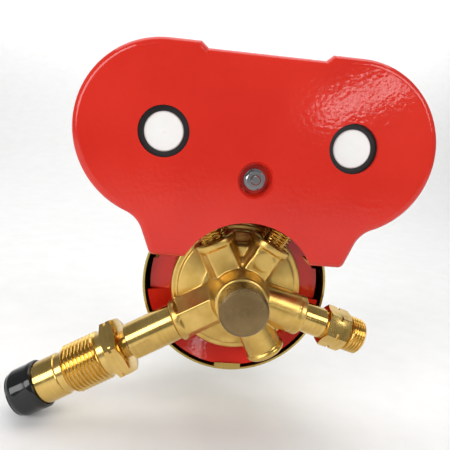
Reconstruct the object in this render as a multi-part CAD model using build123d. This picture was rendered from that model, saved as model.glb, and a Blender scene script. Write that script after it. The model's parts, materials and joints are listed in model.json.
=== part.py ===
from build123d import *
import os
from math import cos, pi, radians, sin, sqrt

# Two-gauge gas regulator with a sheet-metal gauge guard, in millimetres.
#
# Everything is first built about the body: the body axis is Y, the back (plug and guard face)
# looks along -Y, the adjusting knob is at +Y, +Z is up and all five ports lie in the plane y = 0.
# The last step moves every piece so that the origin is on the inlet nut, at the outer end of its
# thread, which is where the regulator is held by a cylinder valve.

# ---------------------------------------------------------------- clearances
THREAD_GAP = 0.05          # radial gap between a screwed shank and its hole
RUNNING_GAP = 0.05         # radial gap between a part that turns or slides and its bearing
CONTACT_GAP = 0.05         # axial gap between moving pieces that push on each other
LOOSE_GAP = 0.3            # gap between pieces that only stand next to each other

# ---------------------------------------------------------------- ports
INLET_ANGLE = 210.0        # ports are set round the body axis, from +X towards +Z
OUTLET_ANGLE = -17.0
BLANK_ANGLE = -60.0
LEFT_GAUGE_ANGLE = 118.6
RIGHT_GAUGE_ANGLE = 61.4
PORT_BORE_R = 6.7          # tapped bores of the four live ports
PORT_WALL = 2.3            # metal round a tapped bore
BOSS_SINK = 6.0            # bosses begin this far inside the hub
PORT_WEB = 2.5             # how far a bore's floor stays beyond the meeting of two gauge bores
PASSAGE_R = 1.6            # drilled gas passages
PASSAGE_OFFSET = 4.5       # passages lie this far behind (inlet side) or ahead (outlet side)
GAUGE_BOSS_PAST_FLANGE = -3.0
INLET_BOSS_PAST_FLANGE = 0.3
OUTLET_BOSS_PAST_FLANGE = 1.0
BLANK_BOSS_PAST_FLANGE = 1.5

# ---------------------------------------------------------------- body and valve
FLANGE_R = 31.0
FLANGE_WALL = 4.5          # wall outside the bonnet's thread
FLANGE_RIM_W = 3.2         # raised ring at the edge of the flange
GAUGE_PASS_GAP = 0.8        # the flange's rim stays this far ahead of the gauges' threads
BOSS_FLAT_DEPTH = 1.0       # the gauge bosses' rear flats lie this far inside their round
BOSS_FLAT_W = 10.8          # width of those flats
PAD_WIDE = 9.6              # plain oval pad on the right gauge's boss, across the boss
PAD_TALL = 8.4
PAD_HIGH = 0.45
PAD_SHIFT = 0.4             # the pad sits this far towards the boss's mouth from its flat's middle
BOSS_RIM_H = 3.6            # turned rim at a gauge boss's mouth
BOSS_RIM_STEP = 0.9
PLUG_FACE_Y = -28.0
PLUG_R = 10.4
PLUG_HEAD_STEP = 2.2       # head beyond the thread
PLUG_THREAD_LENGTH = 9.5
PLUG_GASKET_T = 0.8
SPRING_POCKET_DEPTH = 6.0
HUB_BACK_Y = -17.5
HUB_LIP = 1.2              # hub beyond the plug's head
HUB_FLARE = 2.0
NOZZLE_R = 5.5
NOZZLE_BACK_Y = -3.0
NOZZLE_FRONT_Y = 3.0
NOZZLE_STEP = 1.5          # width of the ledge that the nozzle seats on
ORIFICE_R = 1.5
SEAT_LIP = 1.6
POPPET_R = 3.4
POPPET_LENGTH = 3.4
VALVE_PIN_R = 0.8
VALVE_PIN_CLEAR = 0.6      # the pin ends this far behind the bowl's floor
VALVE_SPRING_R = 2.4
VALVE_WIRE = 0.7
OUTLET_CHAMBER_R = 10.0
BOWL_Y = 8.5
BOWL_DEPTH = 3.0
DIAPHRAGM_LAND = 5.5       # width over which the diaphragm is clamped
DIAPHRAGM_T = 1.2
PLATE_INSET = 7.0          # free ring of diaphragm outside its plate
PLATE_T = 2.0
PLATE_NECK_R = 3.3

# ---------------------------------------------------------------- bonnet, spring, screw and knob
BONNET_SPIGOT = 5.5        # length of the bonnet's thread in the body
BONNET_FLANGE_T = 5.0
BONNET_DOME = 9.0
SPRING_R = 9.5
SPRING_WIRE = 2.4
SPRING_TURNS = 5
SPRING_LENGTH = 21.3
CHAMBER_AIR = 2.8          # spring chamber outside the spring
BONNET_WALL = 3.0
BONNET_TOP_T = 5.7
BUTTON_T = 2.5
BUTTON_AIR = 1.6           # from the button to the top of the chamber
SCREW_R = 6.0
SCREW_PITCH = 1.75
SCREW_TURNS = 5            # from off to full delivery pressure
SCREW_IN_KNOB = 16.0
KNOB_R = 22.0
KNOB_LENGTH = 24.0
KNOB_COLLAR = 6.0
KNOB_FLUTES = 12
KNOB_REST_GAP = 2.25       # knob to bonnet when screwed fully in
KNOB_CAP_R = 14.0
KNOB_CAP_T = 1.5

# ---------------------------------------------------------------- shroud and bracket
SHEET_BRASS = 1.0
SHROUD_GAP = 2.4           # shroud outside the bracket
SHROUD_OVERLAP = 5.0       # shroud reaches this far behind the front of the body
SHROUD_SETBACK = 2.15
SHROUD_CORNER_R = 4.0
SHROUD_TAB_W = 13.0
SHROUD_TAB_DEPTH = 3.4
SHROUD_TAB_ANGLES = (270, 35, 145)
SHEET_BRACKET = 1.5
BRACKET_WIDTH = 11.2       # bracket outside the flange, below
BRACKET_CUT_BACK = 3.0     # less this much above
BRACKET_EAR_STEP = 1.0     # and this much at the ears on either side
BRACKET_BEND_ANGLE = 11.0  # below this angle under the horizontal it is bent to the rear
BRACKET_STEP_ANGLE = 13.0  # above this angle over the horizontal it is cut back
TONGUE_W = 15.0

# ---------------------------------------------------------------- guard
GUARD_BACK_Y = -22.0
GUARD_SHEET = 1.6
GUARD_EDGE_R = 3.2
GUARD_AIR = 0.6            # between a gauge bezel and the guard wall
GUARD_LIP = 2.1            # guard in front of the gauge cases
GUARD_TOP_STEP = 2.4       # the top edge drops between the lobes
GUARD_STEP_FROM_LOBE = 12.0
GUARD_STEP_RUN = 2.8
WAIST_R = 12.0             # hollow corner between a lobe and a leg
LEG_WIDTH = 13.8
LEG_CORNER_R = 2.6
LEG_LEAN = 0.39            # the side of a leg leans out by this much for each mm of height
LEG_Z = 19.8
LEG_WALL_Y = -9.0          # the walls of the legs stop short of the bracket
ARCH_AIR = 5.2             # arch above the flange
BLOWOUT_HOLE_R = 10.0
DIMPLE_ABOVE_ARCH = 17.3
DIMPLE_R = 6.7
DIMPLE_DEPTH = 6.0
STUD_R = 2.0
STUD_FLATS = 8.0
NUT_FLATS = 7.0
NUT_T = 3.2
WASHER_R = 4.4
WASHER_T = 0.8

# ---------------------------------------------------------------- gauges
SHROUD_TO_GAUGE = 1.4
BEZEL_R = 33.0
BEZEL_STEP = 1.8           # bezel outside the case
BEZEL_DEPTH = 7.8
CASE_AIR = 0.8             # case in front of the guard's back wall
CASE_FRONT_Y = 11.4
CASE_WALL = 1.0
LENS_T = 1.6
DIAL_T = 0.6
DIAL_BELOW_RIM = 4.9
DIAL_GAP = 0.4             # round the dial, inside the case
DISC_R = 7.75              # blow-out disc in the back of the case
POINTER_LENGTH = 22.0
POINTER_ZERO = 135.0       # pointer at zero, either side of straight up
ARBOR_R = 0.75
PINION_R = 2.0
SECTOR_R = 10.0
SECTOR_HALF_ANGLE = 28.0
SECTOR_SWING = 54.0
SECTOR_TAIL = 5.0
SECTOR_TAIL_GAP = 0.7      # from the sector's tail to the socket's block
MOVEMENT_BACK_Y = -6.5
MOVEMENT_FRONT_Y = 1.0
MOVEMENT_PLATE_T = 1.0
PILLAR_X = 10.0            # the dial stands on two pillars of the movement
NECK_R = 5.5               # the socket's round neck, where it passes through the case
SOCKET_BLOCK_W = 13.0
SOCKET_FLATS = 14.0
SOCKET_SQUARE_H = 10.5     # from the bezel to the end of the wrench square
SOCKET_FLOOR_GAP = 2.0     # from the floor of the port's bore to the end of the gauge's thread
TUBE_SINK = 4.0            # middle of the curved tube below the top of the block
TUBE_ARC_Y = -11.0
TUBE_THICK = 2.2
TUBE_WIDE = 7.0

# ---------------------------------------------------------------- inlet connection
STEM_R = 8.6
STEM_LENGTH = 23.1
STEM_FLAT_CUT = 1.0        # depth of each of the two wrench flats
STEM_FLAT_LENGTH = 10.6
STEM_FLAT_TURN = -23.0      # flats are turned this far about the stem
STEM_BORE_R = 3.0
NIPPLE_R = 6.25
NIPPLE_THREAD_STEP = 1.25
NIPPLE_THREAD_LENGTH = 10.0
NUT_GAP = 2.7              # neck seen between the stem and the nut
INLET_HEX_FLATS = 25.4
INLET_HEX_LENGTH = 6.9
INLET_HEX_TURN = 20.0
INLET_COLLAR_LENGTH = 3.5
INLET_COLLAR_STEP = 0.855
INLET_THREAD_R = 11.455    # G5/8, 22.91 mm
INLET_THREAD_LENGTH = 17.5
THREAD_RUN_OUT = 0.6
THREAD_CHAMFER = 1.2
NOTCH_W = 1.2              # corner notches that mark a left-hand thread
NOTCH_DEPTH = 0.9
SHOULDER_LENGTH = 3.6
SHOULDER_STEP = 0.5
NOSE_STEP = 1.455          # the nose passes through the valve's thread
NOSE_LENGTH = 23.4
NOSE_BORE_R = 4.0
ORING_WIRE_R = 0.9
CAP_WALL = 1.15
CAP_COVER = 12.9           # how much of the nose the cap covers
CAP_DOME = 6.0

# ---------------------------------------------------------------- outlet connection
OUTLET_TUBE_R = 7.05
OUTLET_TUBE_LENGTH = 11.5
OUTLET_HEX_FLATS = 17.0
OUTLET_HEX_LENGTH = 11.2
OUTLET_HEX_TURN = 10.0
OUTLET_THREAD_R = 8.33     # G3/8, 16.66 mm
OUTLET_THREAD_LENGTH = 8.4
OUTLET_RELIEF = 1.2
OUTLET_BORE_R = 3.2
OUTLET_SEAT_DEPTH = 4.0
OUTLET_SEAT_FLARE = 2.4

# ---------------------------------------------------------------- worked out: body, valve and bonnet
BOSS_R = PORT_BORE_R + PORT_WALL
FLANGE_BACK_Y = PORT_BORE_R + GAUGE_PASS_GAP
PORT_FLOOR = PORT_BORE_R / sin(radians((LEFT_GAUGE_ANGLE - RIGHT_GAUGE_ANGLE) / 2)) + PORT_WEB
GAUGE_BOSS_END = FLANGE_R + GAUGE_BOSS_PAST_FLANGE
INLET_BOSS_END = FLANGE_R + INLET_BOSS_PAST_FLANGE
OUTLET_BOSS_END = FLANGE_R + OUTLET_BOSS_PAST_FLANGE
BLANK_BOSS_END = FLANGE_R + BLANK_BOSS_PAST_FLANGE
PLUG_THREAD_R = PLUG_R - PLUG_HEAD_STEP
HUB_BACK_R = PLUG_R + HUB_LIP
HUB_R = HUB_BACK_R + HUB_FLARE
BOSS_START = HUB_R - BOSS_SINK
CHAMBER_R = NOZZLE_R + NOZZLE_STEP
NOZZLE_LIP_Y = NOZZLE_BACK_Y - SEAT_LIP
POPPET_FRONT_Y = NOZZLE_LIP_Y - CONTACT_GAP
POPPET_BACK_Y = POPPET_FRONT_Y - POPPET_LENGTH
VALVE_PIN_END_Y = BOWL_Y - VALVE_PIN_CLEAR
PLUG_THREAD_END_Y = HUB_BACK_Y + PLUG_THREAD_LENGTH
SPRING_POCKET_Y = PLUG_THREAD_END_Y - SPRING_POCKET_DEPTH
BONNET_THREAD_R = FLANGE_R - FLANGE_WALL
BOWL_R = BONNET_THREAD_R - DIAPHRAGM_LAND
PLATE_R = BOWL_R - PLATE_INSET
DIAPHRAGM_SEAT_Y = BOWL_Y + BOWL_DEPTH
DIAPHRAGM_FRONT_Y = DIAPHRAGM_SEAT_Y + DIAPHRAGM_T
BODY_FRONT_Y = DIAPHRAGM_SEAT_Y + BONNET_SPIGOT
PLATE_BACK_Y = DIAPHRAGM_FRONT_Y + CONTACT_GAP
PLATE_FRONT_Y = PLATE_BACK_Y + PLATE_T
SPRING_CHAMBER_R = SPRING_R + SPRING_WIRE / 2 + CHAMBER_AIR
BONNET_OUTER_R = SPRING_CHAMBER_R + BONNET_WALL
BONNET_FLANGE_Y = BODY_FRONT_Y + SHEET_BRACKET
BONNET_FLANGE_FRONT_Y = BONNET_FLANGE_Y + BONNET_FLANGE_T
DOME_Y = BONNET_FLANGE_FRONT_Y + BONNET_DOME
BUTTON_Y = PLATE_FRONT_Y + SPRING_LENGTH
BUTTON_FRONT_Y = BUTTON_Y + BUTTON_T
CHAMBER_TOP_Y = BUTTON_FRONT_Y + BUTTON_AIR
BONNET_END_Y = CHAMBER_TOP_Y + BONNET_TOP_T
SCREW_TIP_Y = BUTTON_FRONT_Y + CONTACT_GAP
KNOB_BACK_Y = BONNET_END_Y + SCREW_TURNS * SCREW_PITCH + KNOB_REST_GAP
KNOB_FRONT_Y = KNOB_BACK_Y + KNOB_LENGTH

# ---------------------------------------------------------------- worked out: shroud, guard and gauges
BRACKET_R = FLANGE_R + BRACKET_WIDTH
BRACKET_UPPER_R = BRACKET_R - BRACKET_CUT_BACK
BRACKET_EAR_R = BRACKET_R - BRACKET_EAR_STEP
BRACKET_FRONT_Y = BODY_FRONT_Y + SHEET_BRACKET
SHROUD_R = BRACKET_R + SHROUD_GAP
SHROUD_BACK_Y = BODY_FRONT_Y - SHROUD_OVERLAP
SHROUD_FRONT_Y = CHAMBER_TOP_Y - SHROUD_SETBACK
GAUGE_DISTANCE = SHROUD_R + SHROUD_TO_GAUGE + BEZEL_R
CASE_R = BEZEL_R - BEZEL_STEP
LOBE_R = BEZEL_R + GUARD_AIR + GUARD_SHEET
LOBE_X = GAUGE_DISTANCE * cos(radians(RIGHT_GAUGE_ANGLE))
LOBE_Z = GAUGE_DISTANCE * sin(radians(RIGHT_GAUGE_ANGLE))
GUARD_FRONT_Y = CASE_FRONT_Y + GUARD_LIP
LEG_INNER_X = FLANGE_R - FLANGE_WALL
LEG_X = LEG_INNER_X + LEG_WIDTH
ARCH_TOP_Z = FLANGE_R + ARCH_AIR
DIMPLE_Z = ARCH_TOP_Z + DIMPLE_ABOVE_ARCH
DIMPLE_FLOOR_Y = GUARD_BACK_Y + DIMPLE_DEPTH
DIMPLE_INNER_Y = DIMPLE_FLOOR_Y + GUARD_SHEET
CASE_BACK_Y = GUARD_BACK_Y + GUARD_SHEET + CASE_AIR
DIAL_R = CASE_R - CASE_WALL - DIAL_GAP
DIAL_Y = CASE_FRONT_Y - DIAL_BELOW_RIM
SECTOR_PIVOT_Z = -(SECTOR_R + PINION_R + LOOSE_GAP)
SOCKET_BLOCK_TOP = SECTOR_PIVOT_Z - SECTOR_TAIL - SECTOR_TAIL_GAP
SOCKET_SQUARE_END = -BEZEL_R - SOCKET_SQUARE_H
SOCKET_END = PORT_FLOOR + SOCKET_FLOOR_GAP - GAUGE_DISTANCE
TUBE_ARC_R = TUBE_SINK - SOCKET_BLOCK_TOP

# ---------------------------------------------------------------- worked out: inlet and outlet
STEM_END = INLET_BOSS_END + STEM_LENGTH
NIPPLE_THREAD_R = NIPPLE_R - NIPPLE_THREAD_STEP
NUT_START = STEM_END + NUT_GAP
INLET_COLLAR_R = INLET_THREAD_R - INLET_COLLAR_STEP
NUT_END = NUT_START + INLET_HEX_LENGTH + INLET_COLLAR_LENGTH + INLET_THREAD_LENGTH
SHOULDER_START = NUT_END + LOOSE_GAP
NOSE_R = INLET_THREAD_R - NOSE_STEP
SHOULDER_R = NOSE_R - SHOULDER_STEP
NOSE_START = SHOULDER_START + SHOULDER_LENGTH
NOSE_END = NOSE_START + NOSE_LENGTH
CAP_START = NOSE_END - CAP_COVER
OUTLET_HEX_START = OUTLET_BOSS_END + OUTLET_TUBE_LENGTH
OUTLET_THREAD_START = OUTLET_HEX_START + OUTLET_HEX_LENGTH
OUTLET_END = OUTLET_THREAD_START + OUTLET_THREAD_LENGTH

AXIAL = Rot(X=-90)         # turns a piece built about Z so that it lies along +Y


# ---------------------------------------------------------------- helpers
def turned(*points):
    """A solid of revolution about Z, from (radius, height) points of a closed outline."""
    outline = make_face(Polyline(*[(r, 0, h) for r, h in points], close=True))
    return revolve(outline, axis=Axis.Z, revolution_arc=360)


def rod(radius, low, high):
    """A plain cylinder about Z from one height to another."""
    return Pos(0, 0, low) * Cylinder(radius, high - low, align=(Align.CENTER, Align.CENTER, Align.MIN))


def ring(inner, outer, low, high):
    """A plain washer about Z."""
    return turned((inner, low), (outer, low), (outer, high), (inner, high))


def chamfered_rod(radius, low, high, chamfer):
    """A cylinder about Z with both ends chamfered."""
    return turned(
        (0, low), (radius - chamfer, low), (radius, low + chamfer),
        (radius, high - chamfer), (radius - chamfer, high), (0, high),
    )


def hexagon(flats, low, high, turn=0.0):
    """A hexagonal prism about Z with its corners turned off at both ends, as on a nut."""
    corner_r = flats / sqrt(3)
    prism = extrude(Plane.XY.offset(low) * Rot(Z=turn) * RegularPolygon(corner_r, 6), high - low)
    drop = (corner_r - flats / 2) * 0.6
    turned_off = turned(
        (0, low), (flats / 2, low), (corner_r, low + drop), (corner_r, high - drop),
        (flats / 2, high), (0, high),
    )
    return prism & turned_off


def spring_coil(mean_r, wire, low, high, turns):
    """A helical spring about Z that fills the space from low to high."""
    rise = high - low - wire
    path = Helix(pitch=rise / turns, height=rise, radius=mean_r)
    section = Plane(origin=path @ 0, z_dir=path % 0) * Circle(wire / 2)
    return Pos(0, 0, low + wire / 2) * sweep(section, path=path, is_frenet=True)


def block(x_size, y_low, y_high, z_low, z_high, x=0.0):
    """A box centred on x, between the given limits along Y and Z."""
    box = Box(x_size, y_high - y_low, z_high - z_low, align=(Align.CENTER, Align.MIN, Align.MIN))
    return Pos(x, y_low, z_low) * box


def port(angle):
    """Places a piece built about Z on a port's axis; its own +X then looks to the rear."""
    out = (cos(radians(angle)), 0, sin(radians(angle)))
    return Plane(origin=(0, 0, 0), x_dir=(0, -1, 0), z_dir=out).location


def gauge_place(angle):
    """Places a gauge built upright about its own centre at the end of its port's axis."""
    return Rot(Y=90 - angle) * Pos(0, 0, GAUGE_DISTANCE)


# ---------------------------------------------------------------- body and valve
def make_body():
    dish_r = FLANGE_R - FLANGE_RIM_W
    body = AXIAL * turned(
        (0, HUB_BACK_Y), (HUB_BACK_R - 0.8, HUB_BACK_Y), (HUB_BACK_R, HUB_BACK_Y + 0.8),
        (HUB_R, -5), (HUB_R + 1.0, 0), (HUB_R + 3.0, 2.5), (dish_r, FLANGE_BACK_Y - 1.6),
        (dish_r, FLANGE_BACK_Y), (FLANGE_R - 0.8, FLANGE_BACK_Y), (FLANGE_R, FLANGE_BACK_Y + 0.8),
        (FLANGE_R, BODY_FRONT_Y), (0, BODY_FRONT_Y),
    )
    for angle in (LEFT_GAUGE_ANGLE, RIGHT_GAUGE_ANGLE):
        body += port(angle) * gauge_boss()
    body += port(RIGHT_GAUGE_ANGLE) * oval_pad()
    body += port(INLET_ANGLE) * inlet_boss()
    body += port(OUTLET_ANGLE) * outlet_boss()
    body += port(BLANK_ANGLE) * blank_boss()
    body += upper_web()
    body += cast_mark()
    body -= AXIAL * turned(
        (0, HUB_BACK_Y), (PLUG_THREAD_R, HUB_BACK_Y), (PLUG_THREAD_R, PLUG_THREAD_END_Y),
        (CHAMBER_R, PLUG_THREAD_END_Y), (CHAMBER_R, NOZZLE_BACK_Y), (NOZZLE_R, NOZZLE_BACK_Y),
        (NOZZLE_R, NOZZLE_FRONT_Y), (OUTLET_CHAMBER_R, NOZZLE_FRONT_Y), (OUTLET_CHAMBER_R, BOWL_Y),
        (BOWL_R, BOWL_Y), (BOWL_R, DIAPHRAGM_SEAT_Y), (BONNET_THREAD_R, DIAPHRAGM_SEAT_Y),
        (BONNET_THREAD_R, BODY_FRONT_Y), (0, BODY_FRONT_Y),
    )
    inlet_side = ((INLET_ANGLE, INLET_BOSS_END), (LEFT_GAUGE_ANGLE, GAUGE_BOSS_END))
    outlet_side = ((OUTLET_ANGLE, OUTLET_BOSS_END), (RIGHT_GAUGE_ANGLE, GAUGE_BOSS_END))
    for angle, end in inlet_side:
        body -= port(angle) * port_bore(end, PASSAGE_OFFSET, CHAMBER_R)
    for angle, end in outlet_side:
        body -= port(angle) * port_bore(end, -PASSAGE_OFFSET, OUTLET_CHAMBER_R)
    return body


def port_bore(end, offset, chamber_r):
    """The tapped bore of a port and the passage from its floor into a chamber."""
    bore = rod(PORT_BORE_R, PORT_FLOOR, end)
    passage = Pos(offset, 0, 0) * rod(PASSAGE_R, chamber_r - 2.5, PORT_FLOOR + 0.5)
    return bore + passage


def gauge_boss():
    """A round boss with a broad forged flat to the rear and a turned rim at its mouth."""
    rim_start = GAUGE_BOSS_END - BOSS_RIM_H
    stem = rod(BOSS_R - 0.2, BOSS_START, rim_start)
    flat_x = BOSS_R - BOSS_FLAT_DEPTH
    beyond = Pos(flat_x + BOSS_R, 0, 0) * Box(2 * BOSS_R, 4 * BOSS_R, 4 * GAUGE_BOSS_END)
    side_y = BOSS_R - 0.2
    flat_y = BOSS_FLAT_W / 2
    rear = Polyline((0, side_y), (flat_x, flat_y), (flat_x, -flat_y), (0, -side_y), close=True)
    shoulder = extrude(Plane.XY.offset(BOSS_START) * make_face(rear), rim_start - BOSS_START)
    rim = chamfered_rod(BOSS_R + BOSS_RIM_STEP, rim_start, GAUGE_BOSS_END, 0.5)
    return (stem - beyond) + shoulder + rim


def oval_pad():
    """A thin plain oval on the rear flat of a gauge boss."""
    flat_x = BOSS_R - BOSS_FLAT_DEPTH
    middle = (HUB_R + GAUGE_BOSS_END - BOSS_RIM_H) / 2 + PAD_SHIFT
    oval = Plane.YZ.offset(flat_x - 0.2) * Pos(0, middle) * Ellipse(PAD_WIDE / 2, PAD_TALL / 2)
    return extrude(oval, PAD_HIGH + 0.2)


def inlet_boss():
    """A forged hexagonal boss with a round collar at its mouth."""
    collar = 3.4
    hexagonal = extrude(
        Plane.XY.offset(BOSS_START) * Rot(Z=30) * RegularPolygon(BOSS_R * 1.13, 6),
        INLET_BOSS_END - collar - BOSS_START,
    )
    rim = chamfered_rod(BOSS_R + 0.9, INLET_BOSS_END - collar, INLET_BOSS_END, 0.6)
    return hexagonal + rim


def outlet_boss():
    """A round boss with a turned groove before its mouth."""
    outer = BOSS_R + 0.5
    return turned(
        (0, BOSS_START), (outer - 0.8, BOSS_START), (outer, OUTLET_BOSS_END - 6),
        (outer, OUTLET_BOSS_END - 4.2), (outer - 0.4, OUTLET_BOSS_END - 4.0),
        (outer - 0.4, OUTLET_BOSS_END - 3.4), (outer, OUTLET_BOSS_END - 3.2),
        (outer, OUTLET_BOSS_END - 0.6), (outer - 0.6, OUTLET_BOSS_END), (0, OUTLET_BOSS_END),
    )


def blank_boss():
    """The port that is left solid, with a rounded lip at its end."""
    outer = BOSS_R + 0.4
    return turned(
        (0, BOSS_START), (outer - 0.9, BOSS_START), (outer - 0.9, BLANK_BOSS_END - 3.2),
        (outer, BLANK_BOSS_END - 2.4), (outer, BLANK_BOSS_END - 0.9),
        (outer - 0.9, BLANK_BOSS_END), (0, BLANK_BOSS_END),
    )


def upper_web():
    """The flat-topped rib between the two gauge bosses."""
    outline = make_face(Polyline((-1.3, HUB_R), (1.3, HUB_R), (3.2, 22.4), (-3.2, 22.4), close=True))
    return extrude(Plane.XZ.offset(3.0) * outline, -(FLANGE_BACK_Y + 3.0))


def cast_mark():
    """A small square pad cast on the lower part of the flange."""
    pad = block(7.0, 5.0, FLANGE_BACK_Y, -28.2, -21.2, x=-1.5)
    slope = Pos(-1.5, 5.0, -24.7) * Rot(X=-14) * Box(7.0, 1.4, 7.2)
    return slope & pad


def make_rear_plug():
    head_front = HUB_BACK_Y - PLUG_GASKET_T
    shank_r = PLUG_THREAD_R - THREAD_GAP
    return AXIAL * turned(
        (0, PLUG_FACE_Y), (PLUG_R - 1.0, PLUG_FACE_Y), (PLUG_R, PLUG_FACE_Y + 1.0),
        (PLUG_R, head_front), (shank_r, head_front), (shank_r, PLUG_THREAD_END_Y),
        (VALVE_SPRING_R + 1.6, PLUG_THREAD_END_Y), (VALVE_SPRING_R + 1.6, SPRING_POCKET_Y),
        (0, SPRING_POCKET_Y),
    )


def make_plug_gasket():
    inner = PLUG_THREAD_R + THREAD_GAP
    return AXIAL * ring(inner, PLUG_R - 0.3, HUB_BACK_Y - PLUG_GASKET_T, HUB_BACK_Y)


def make_seat_nozzle():
    return AXIAL * turned(
        (ORIFICE_R, NOZZLE_LIP_Y), (ORIFICE_R + 0.6, NOZZLE_LIP_Y),
        (ORIFICE_R + 1.2, NOZZLE_BACK_Y - 0.9), (CHAMBER_R - 0.6, NOZZLE_BACK_Y - 0.9),
        (CHAMBER_R - 0.6, NOZZLE_BACK_Y), (NOZZLE_R - THREAD_GAP, NOZZLE_BACK_Y),
        (NOZZLE_R - THREAD_GAP, NOZZLE_FRONT_Y), (ORIFICE_R, NOZZLE_FRONT_Y),
    )


def make_valve_poppet():
    guide_r = VALVE_SPRING_R - VALVE_WIRE / 2 - 0.5
    return AXIAL * turned(
        (0, POPPET_BACK_Y - 3.6), (guide_r, POPPET_BACK_Y - 3.6), (guide_r, POPPET_BACK_Y),
        (POPPET_R, POPPET_BACK_Y), (POPPET_R, POPPET_FRONT_Y), (VALVE_PIN_R, POPPET_FRONT_Y),
        (VALVE_PIN_R, VALVE_PIN_END_Y), (0, VALVE_PIN_END_Y),
    )


def make_valve_spring():
    low = SPRING_POCKET_Y + CONTACT_GAP
    high = POPPET_BACK_Y - CONTACT_GAP
    return AXIAL * spring_coil(VALVE_SPRING_R, VALVE_WIRE, low, high, 4)


def make_diaphragm():
    inner = PLATE_NECK_R + LOOSE_GAP
    return AXIAL * ring(inner, BONNET_THREAD_R - LOOSE_GAP, DIAPHRAGM_SEAT_Y, DIAPHRAGM_FRONT_Y)


def make_diaphragm_plate():
    neck_end = VALVE_PIN_END_Y + CONTACT_GAP
    return AXIAL * turned(
        (0, neck_end), (PLATE_NECK_R, neck_end), (PLATE_NECK_R, PLATE_BACK_Y),
        (PLATE_R, PLATE_BACK_Y), (PLATE_R, PLATE_FRONT_Y - 0.5), (PLATE_R - 0.5, PLATE_FRONT_Y),
        (0, PLATE_FRONT_Y),
    )


# ---------------------------------------------------------------- bonnet, spring, screw and knob
def make_bonnet():
    spigot_r = BONNET_THREAD_R - THREAD_GAP
    hollow_y = BONNET_FLANGE_Y + 7.0
    bonnet = AXIAL * turned(
        (BOWL_R + 1.5, DIAPHRAGM_FRONT_Y), (spigot_r, DIAPHRAGM_FRONT_Y), (spigot_r, BONNET_FLANGE_Y),
        (FLANGE_R, BONNET_FLANGE_Y), (FLANGE_R, BONNET_FLANGE_FRONT_Y - 1),
        (FLANGE_R - 1, BONNET_FLANGE_FRONT_Y), (FLANGE_R - 5, BONNET_FLANGE_FRONT_Y + 0.5),
        (BONNET_OUTER_R + 1.5, DOME_Y), (BONNET_OUTER_R, DOME_Y + 2), (BONNET_OUTER_R, CHAMBER_TOP_Y + 1.5),
        (BONNET_OUTER_R - 3.5, CHAMBER_TOP_Y + 3), (BONNET_OUTER_R - 3.5, BONNET_END_Y - 0.6),
        (BONNET_OUTER_R - 4.1, BONNET_END_Y), (SCREW_R + RUNNING_GAP, BONNET_END_Y),
        (SCREW_R + RUNNING_GAP, CHAMBER_TOP_Y), (SPRING_CHAMBER_R, CHAMBER_TOP_Y),
        (SPRING_CHAMBER_R, hollow_y), (BOWL_R + 1.5, BONNET_FLANGE_Y),
    )
    vent = Pos(0, DOME_Y + 4, 0) * Rot(Y=145) * rod(1.2, SPRING_CHAMBER_R - 2, BONNET_OUTER_R + 3)
    return bonnet - vent


def make_adjusting_spring():
    low = PLATE_FRONT_Y + CONTACT_GAP
    high = BUTTON_Y - CONTACT_GAP
    return AXIAL * spring_coil(SPRING_R, SPRING_WIRE, low, high, SPRING_TURNS)


def make_spring_button():
    pilot_r = SPRING_R - SPRING_WIRE / 2 - 0.8
    return AXIAL * turned(
        (0, BUTTON_Y - 3), (pilot_r - 0.6, BUTTON_Y - 3), (pilot_r, BUTTON_Y - 2.4),
        (pilot_r, BUTTON_Y), (SPRING_CHAMBER_R - 1, BUTTON_Y), (SPRING_CHAMBER_R - 1, BUTTON_FRONT_Y),
        (0, BUTTON_FRONT_Y),
    )


def make_adjusting_screw():
    end = KNOB_BACK_Y + SCREW_IN_KNOB
    return AXIAL * turned(
        (0, SCREW_TIP_Y), (SCREW_R - 2, SCREW_TIP_Y), (SCREW_R, SCREW_TIP_Y + 2),
        (SCREW_R, end - 0.8), (SCREW_R - 0.8, end), (0, end),
    )


def make_knob():
    collar_r = SCREW_R + 5
    collar_y = KNOB_BACK_Y + KNOB_COLLAR
    knob = AXIAL * turned(
        (SCREW_R + THREAD_GAP, KNOB_BACK_Y), (collar_r, KNOB_BACK_Y), (collar_r, collar_y),
        (KNOB_R - 2, collar_y), (KNOB_R, collar_y + 2), (KNOB_R, KNOB_FRONT_Y - 3),
        (KNOB_R - 3, KNOB_FRONT_Y), (KNOB_CAP_R + 0.1, KNOB_FRONT_Y),
        (KNOB_CAP_R + 0.1, KNOB_FRONT_Y - KNOB_CAP_T), (SCREW_R + THREAD_GAP, KNOB_FRONT_Y - KNOB_CAP_T),
    )
    flute_r = KNOB_R * sin(pi / KNOB_FLUTES) * 0.52
    for index in range(KNOB_FLUTES):
        turn = 360 * index / KNOB_FLUTES
        knob -= Rot(Y=turn) * Pos(0, 0, KNOB_R + flute_r * 0.35) * AXIAL * rod(
            flute_r, KNOB_BACK_Y, KNOB_FRONT_Y + 1
        )
    return knob - grub_screw(THREAD_GAP)


def grub_screw(grow=0.0):
    """The radial screw in the knob's collar, or the hole for it when grown."""
    low = SCREW_R + (0 if grow else THREAD_GAP)
    high = SCREW_R + (6 if grow else 4)
    return Pos(0, KNOB_BACK_Y + KNOB_COLLAR / 2, 0) * rod(1.5 + grow, low, high)


def make_knob_cap():
    low = KNOB_FRONT_Y - KNOB_CAP_T
    return AXIAL * turned(
        (0, low), (KNOB_CAP_R, low), (KNOB_CAP_R, KNOB_FRONT_Y - 0.4),
        (KNOB_CAP_R - 0.6, KNOB_FRONT_Y), (0, KNOB_FRONT_Y),
    )


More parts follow.
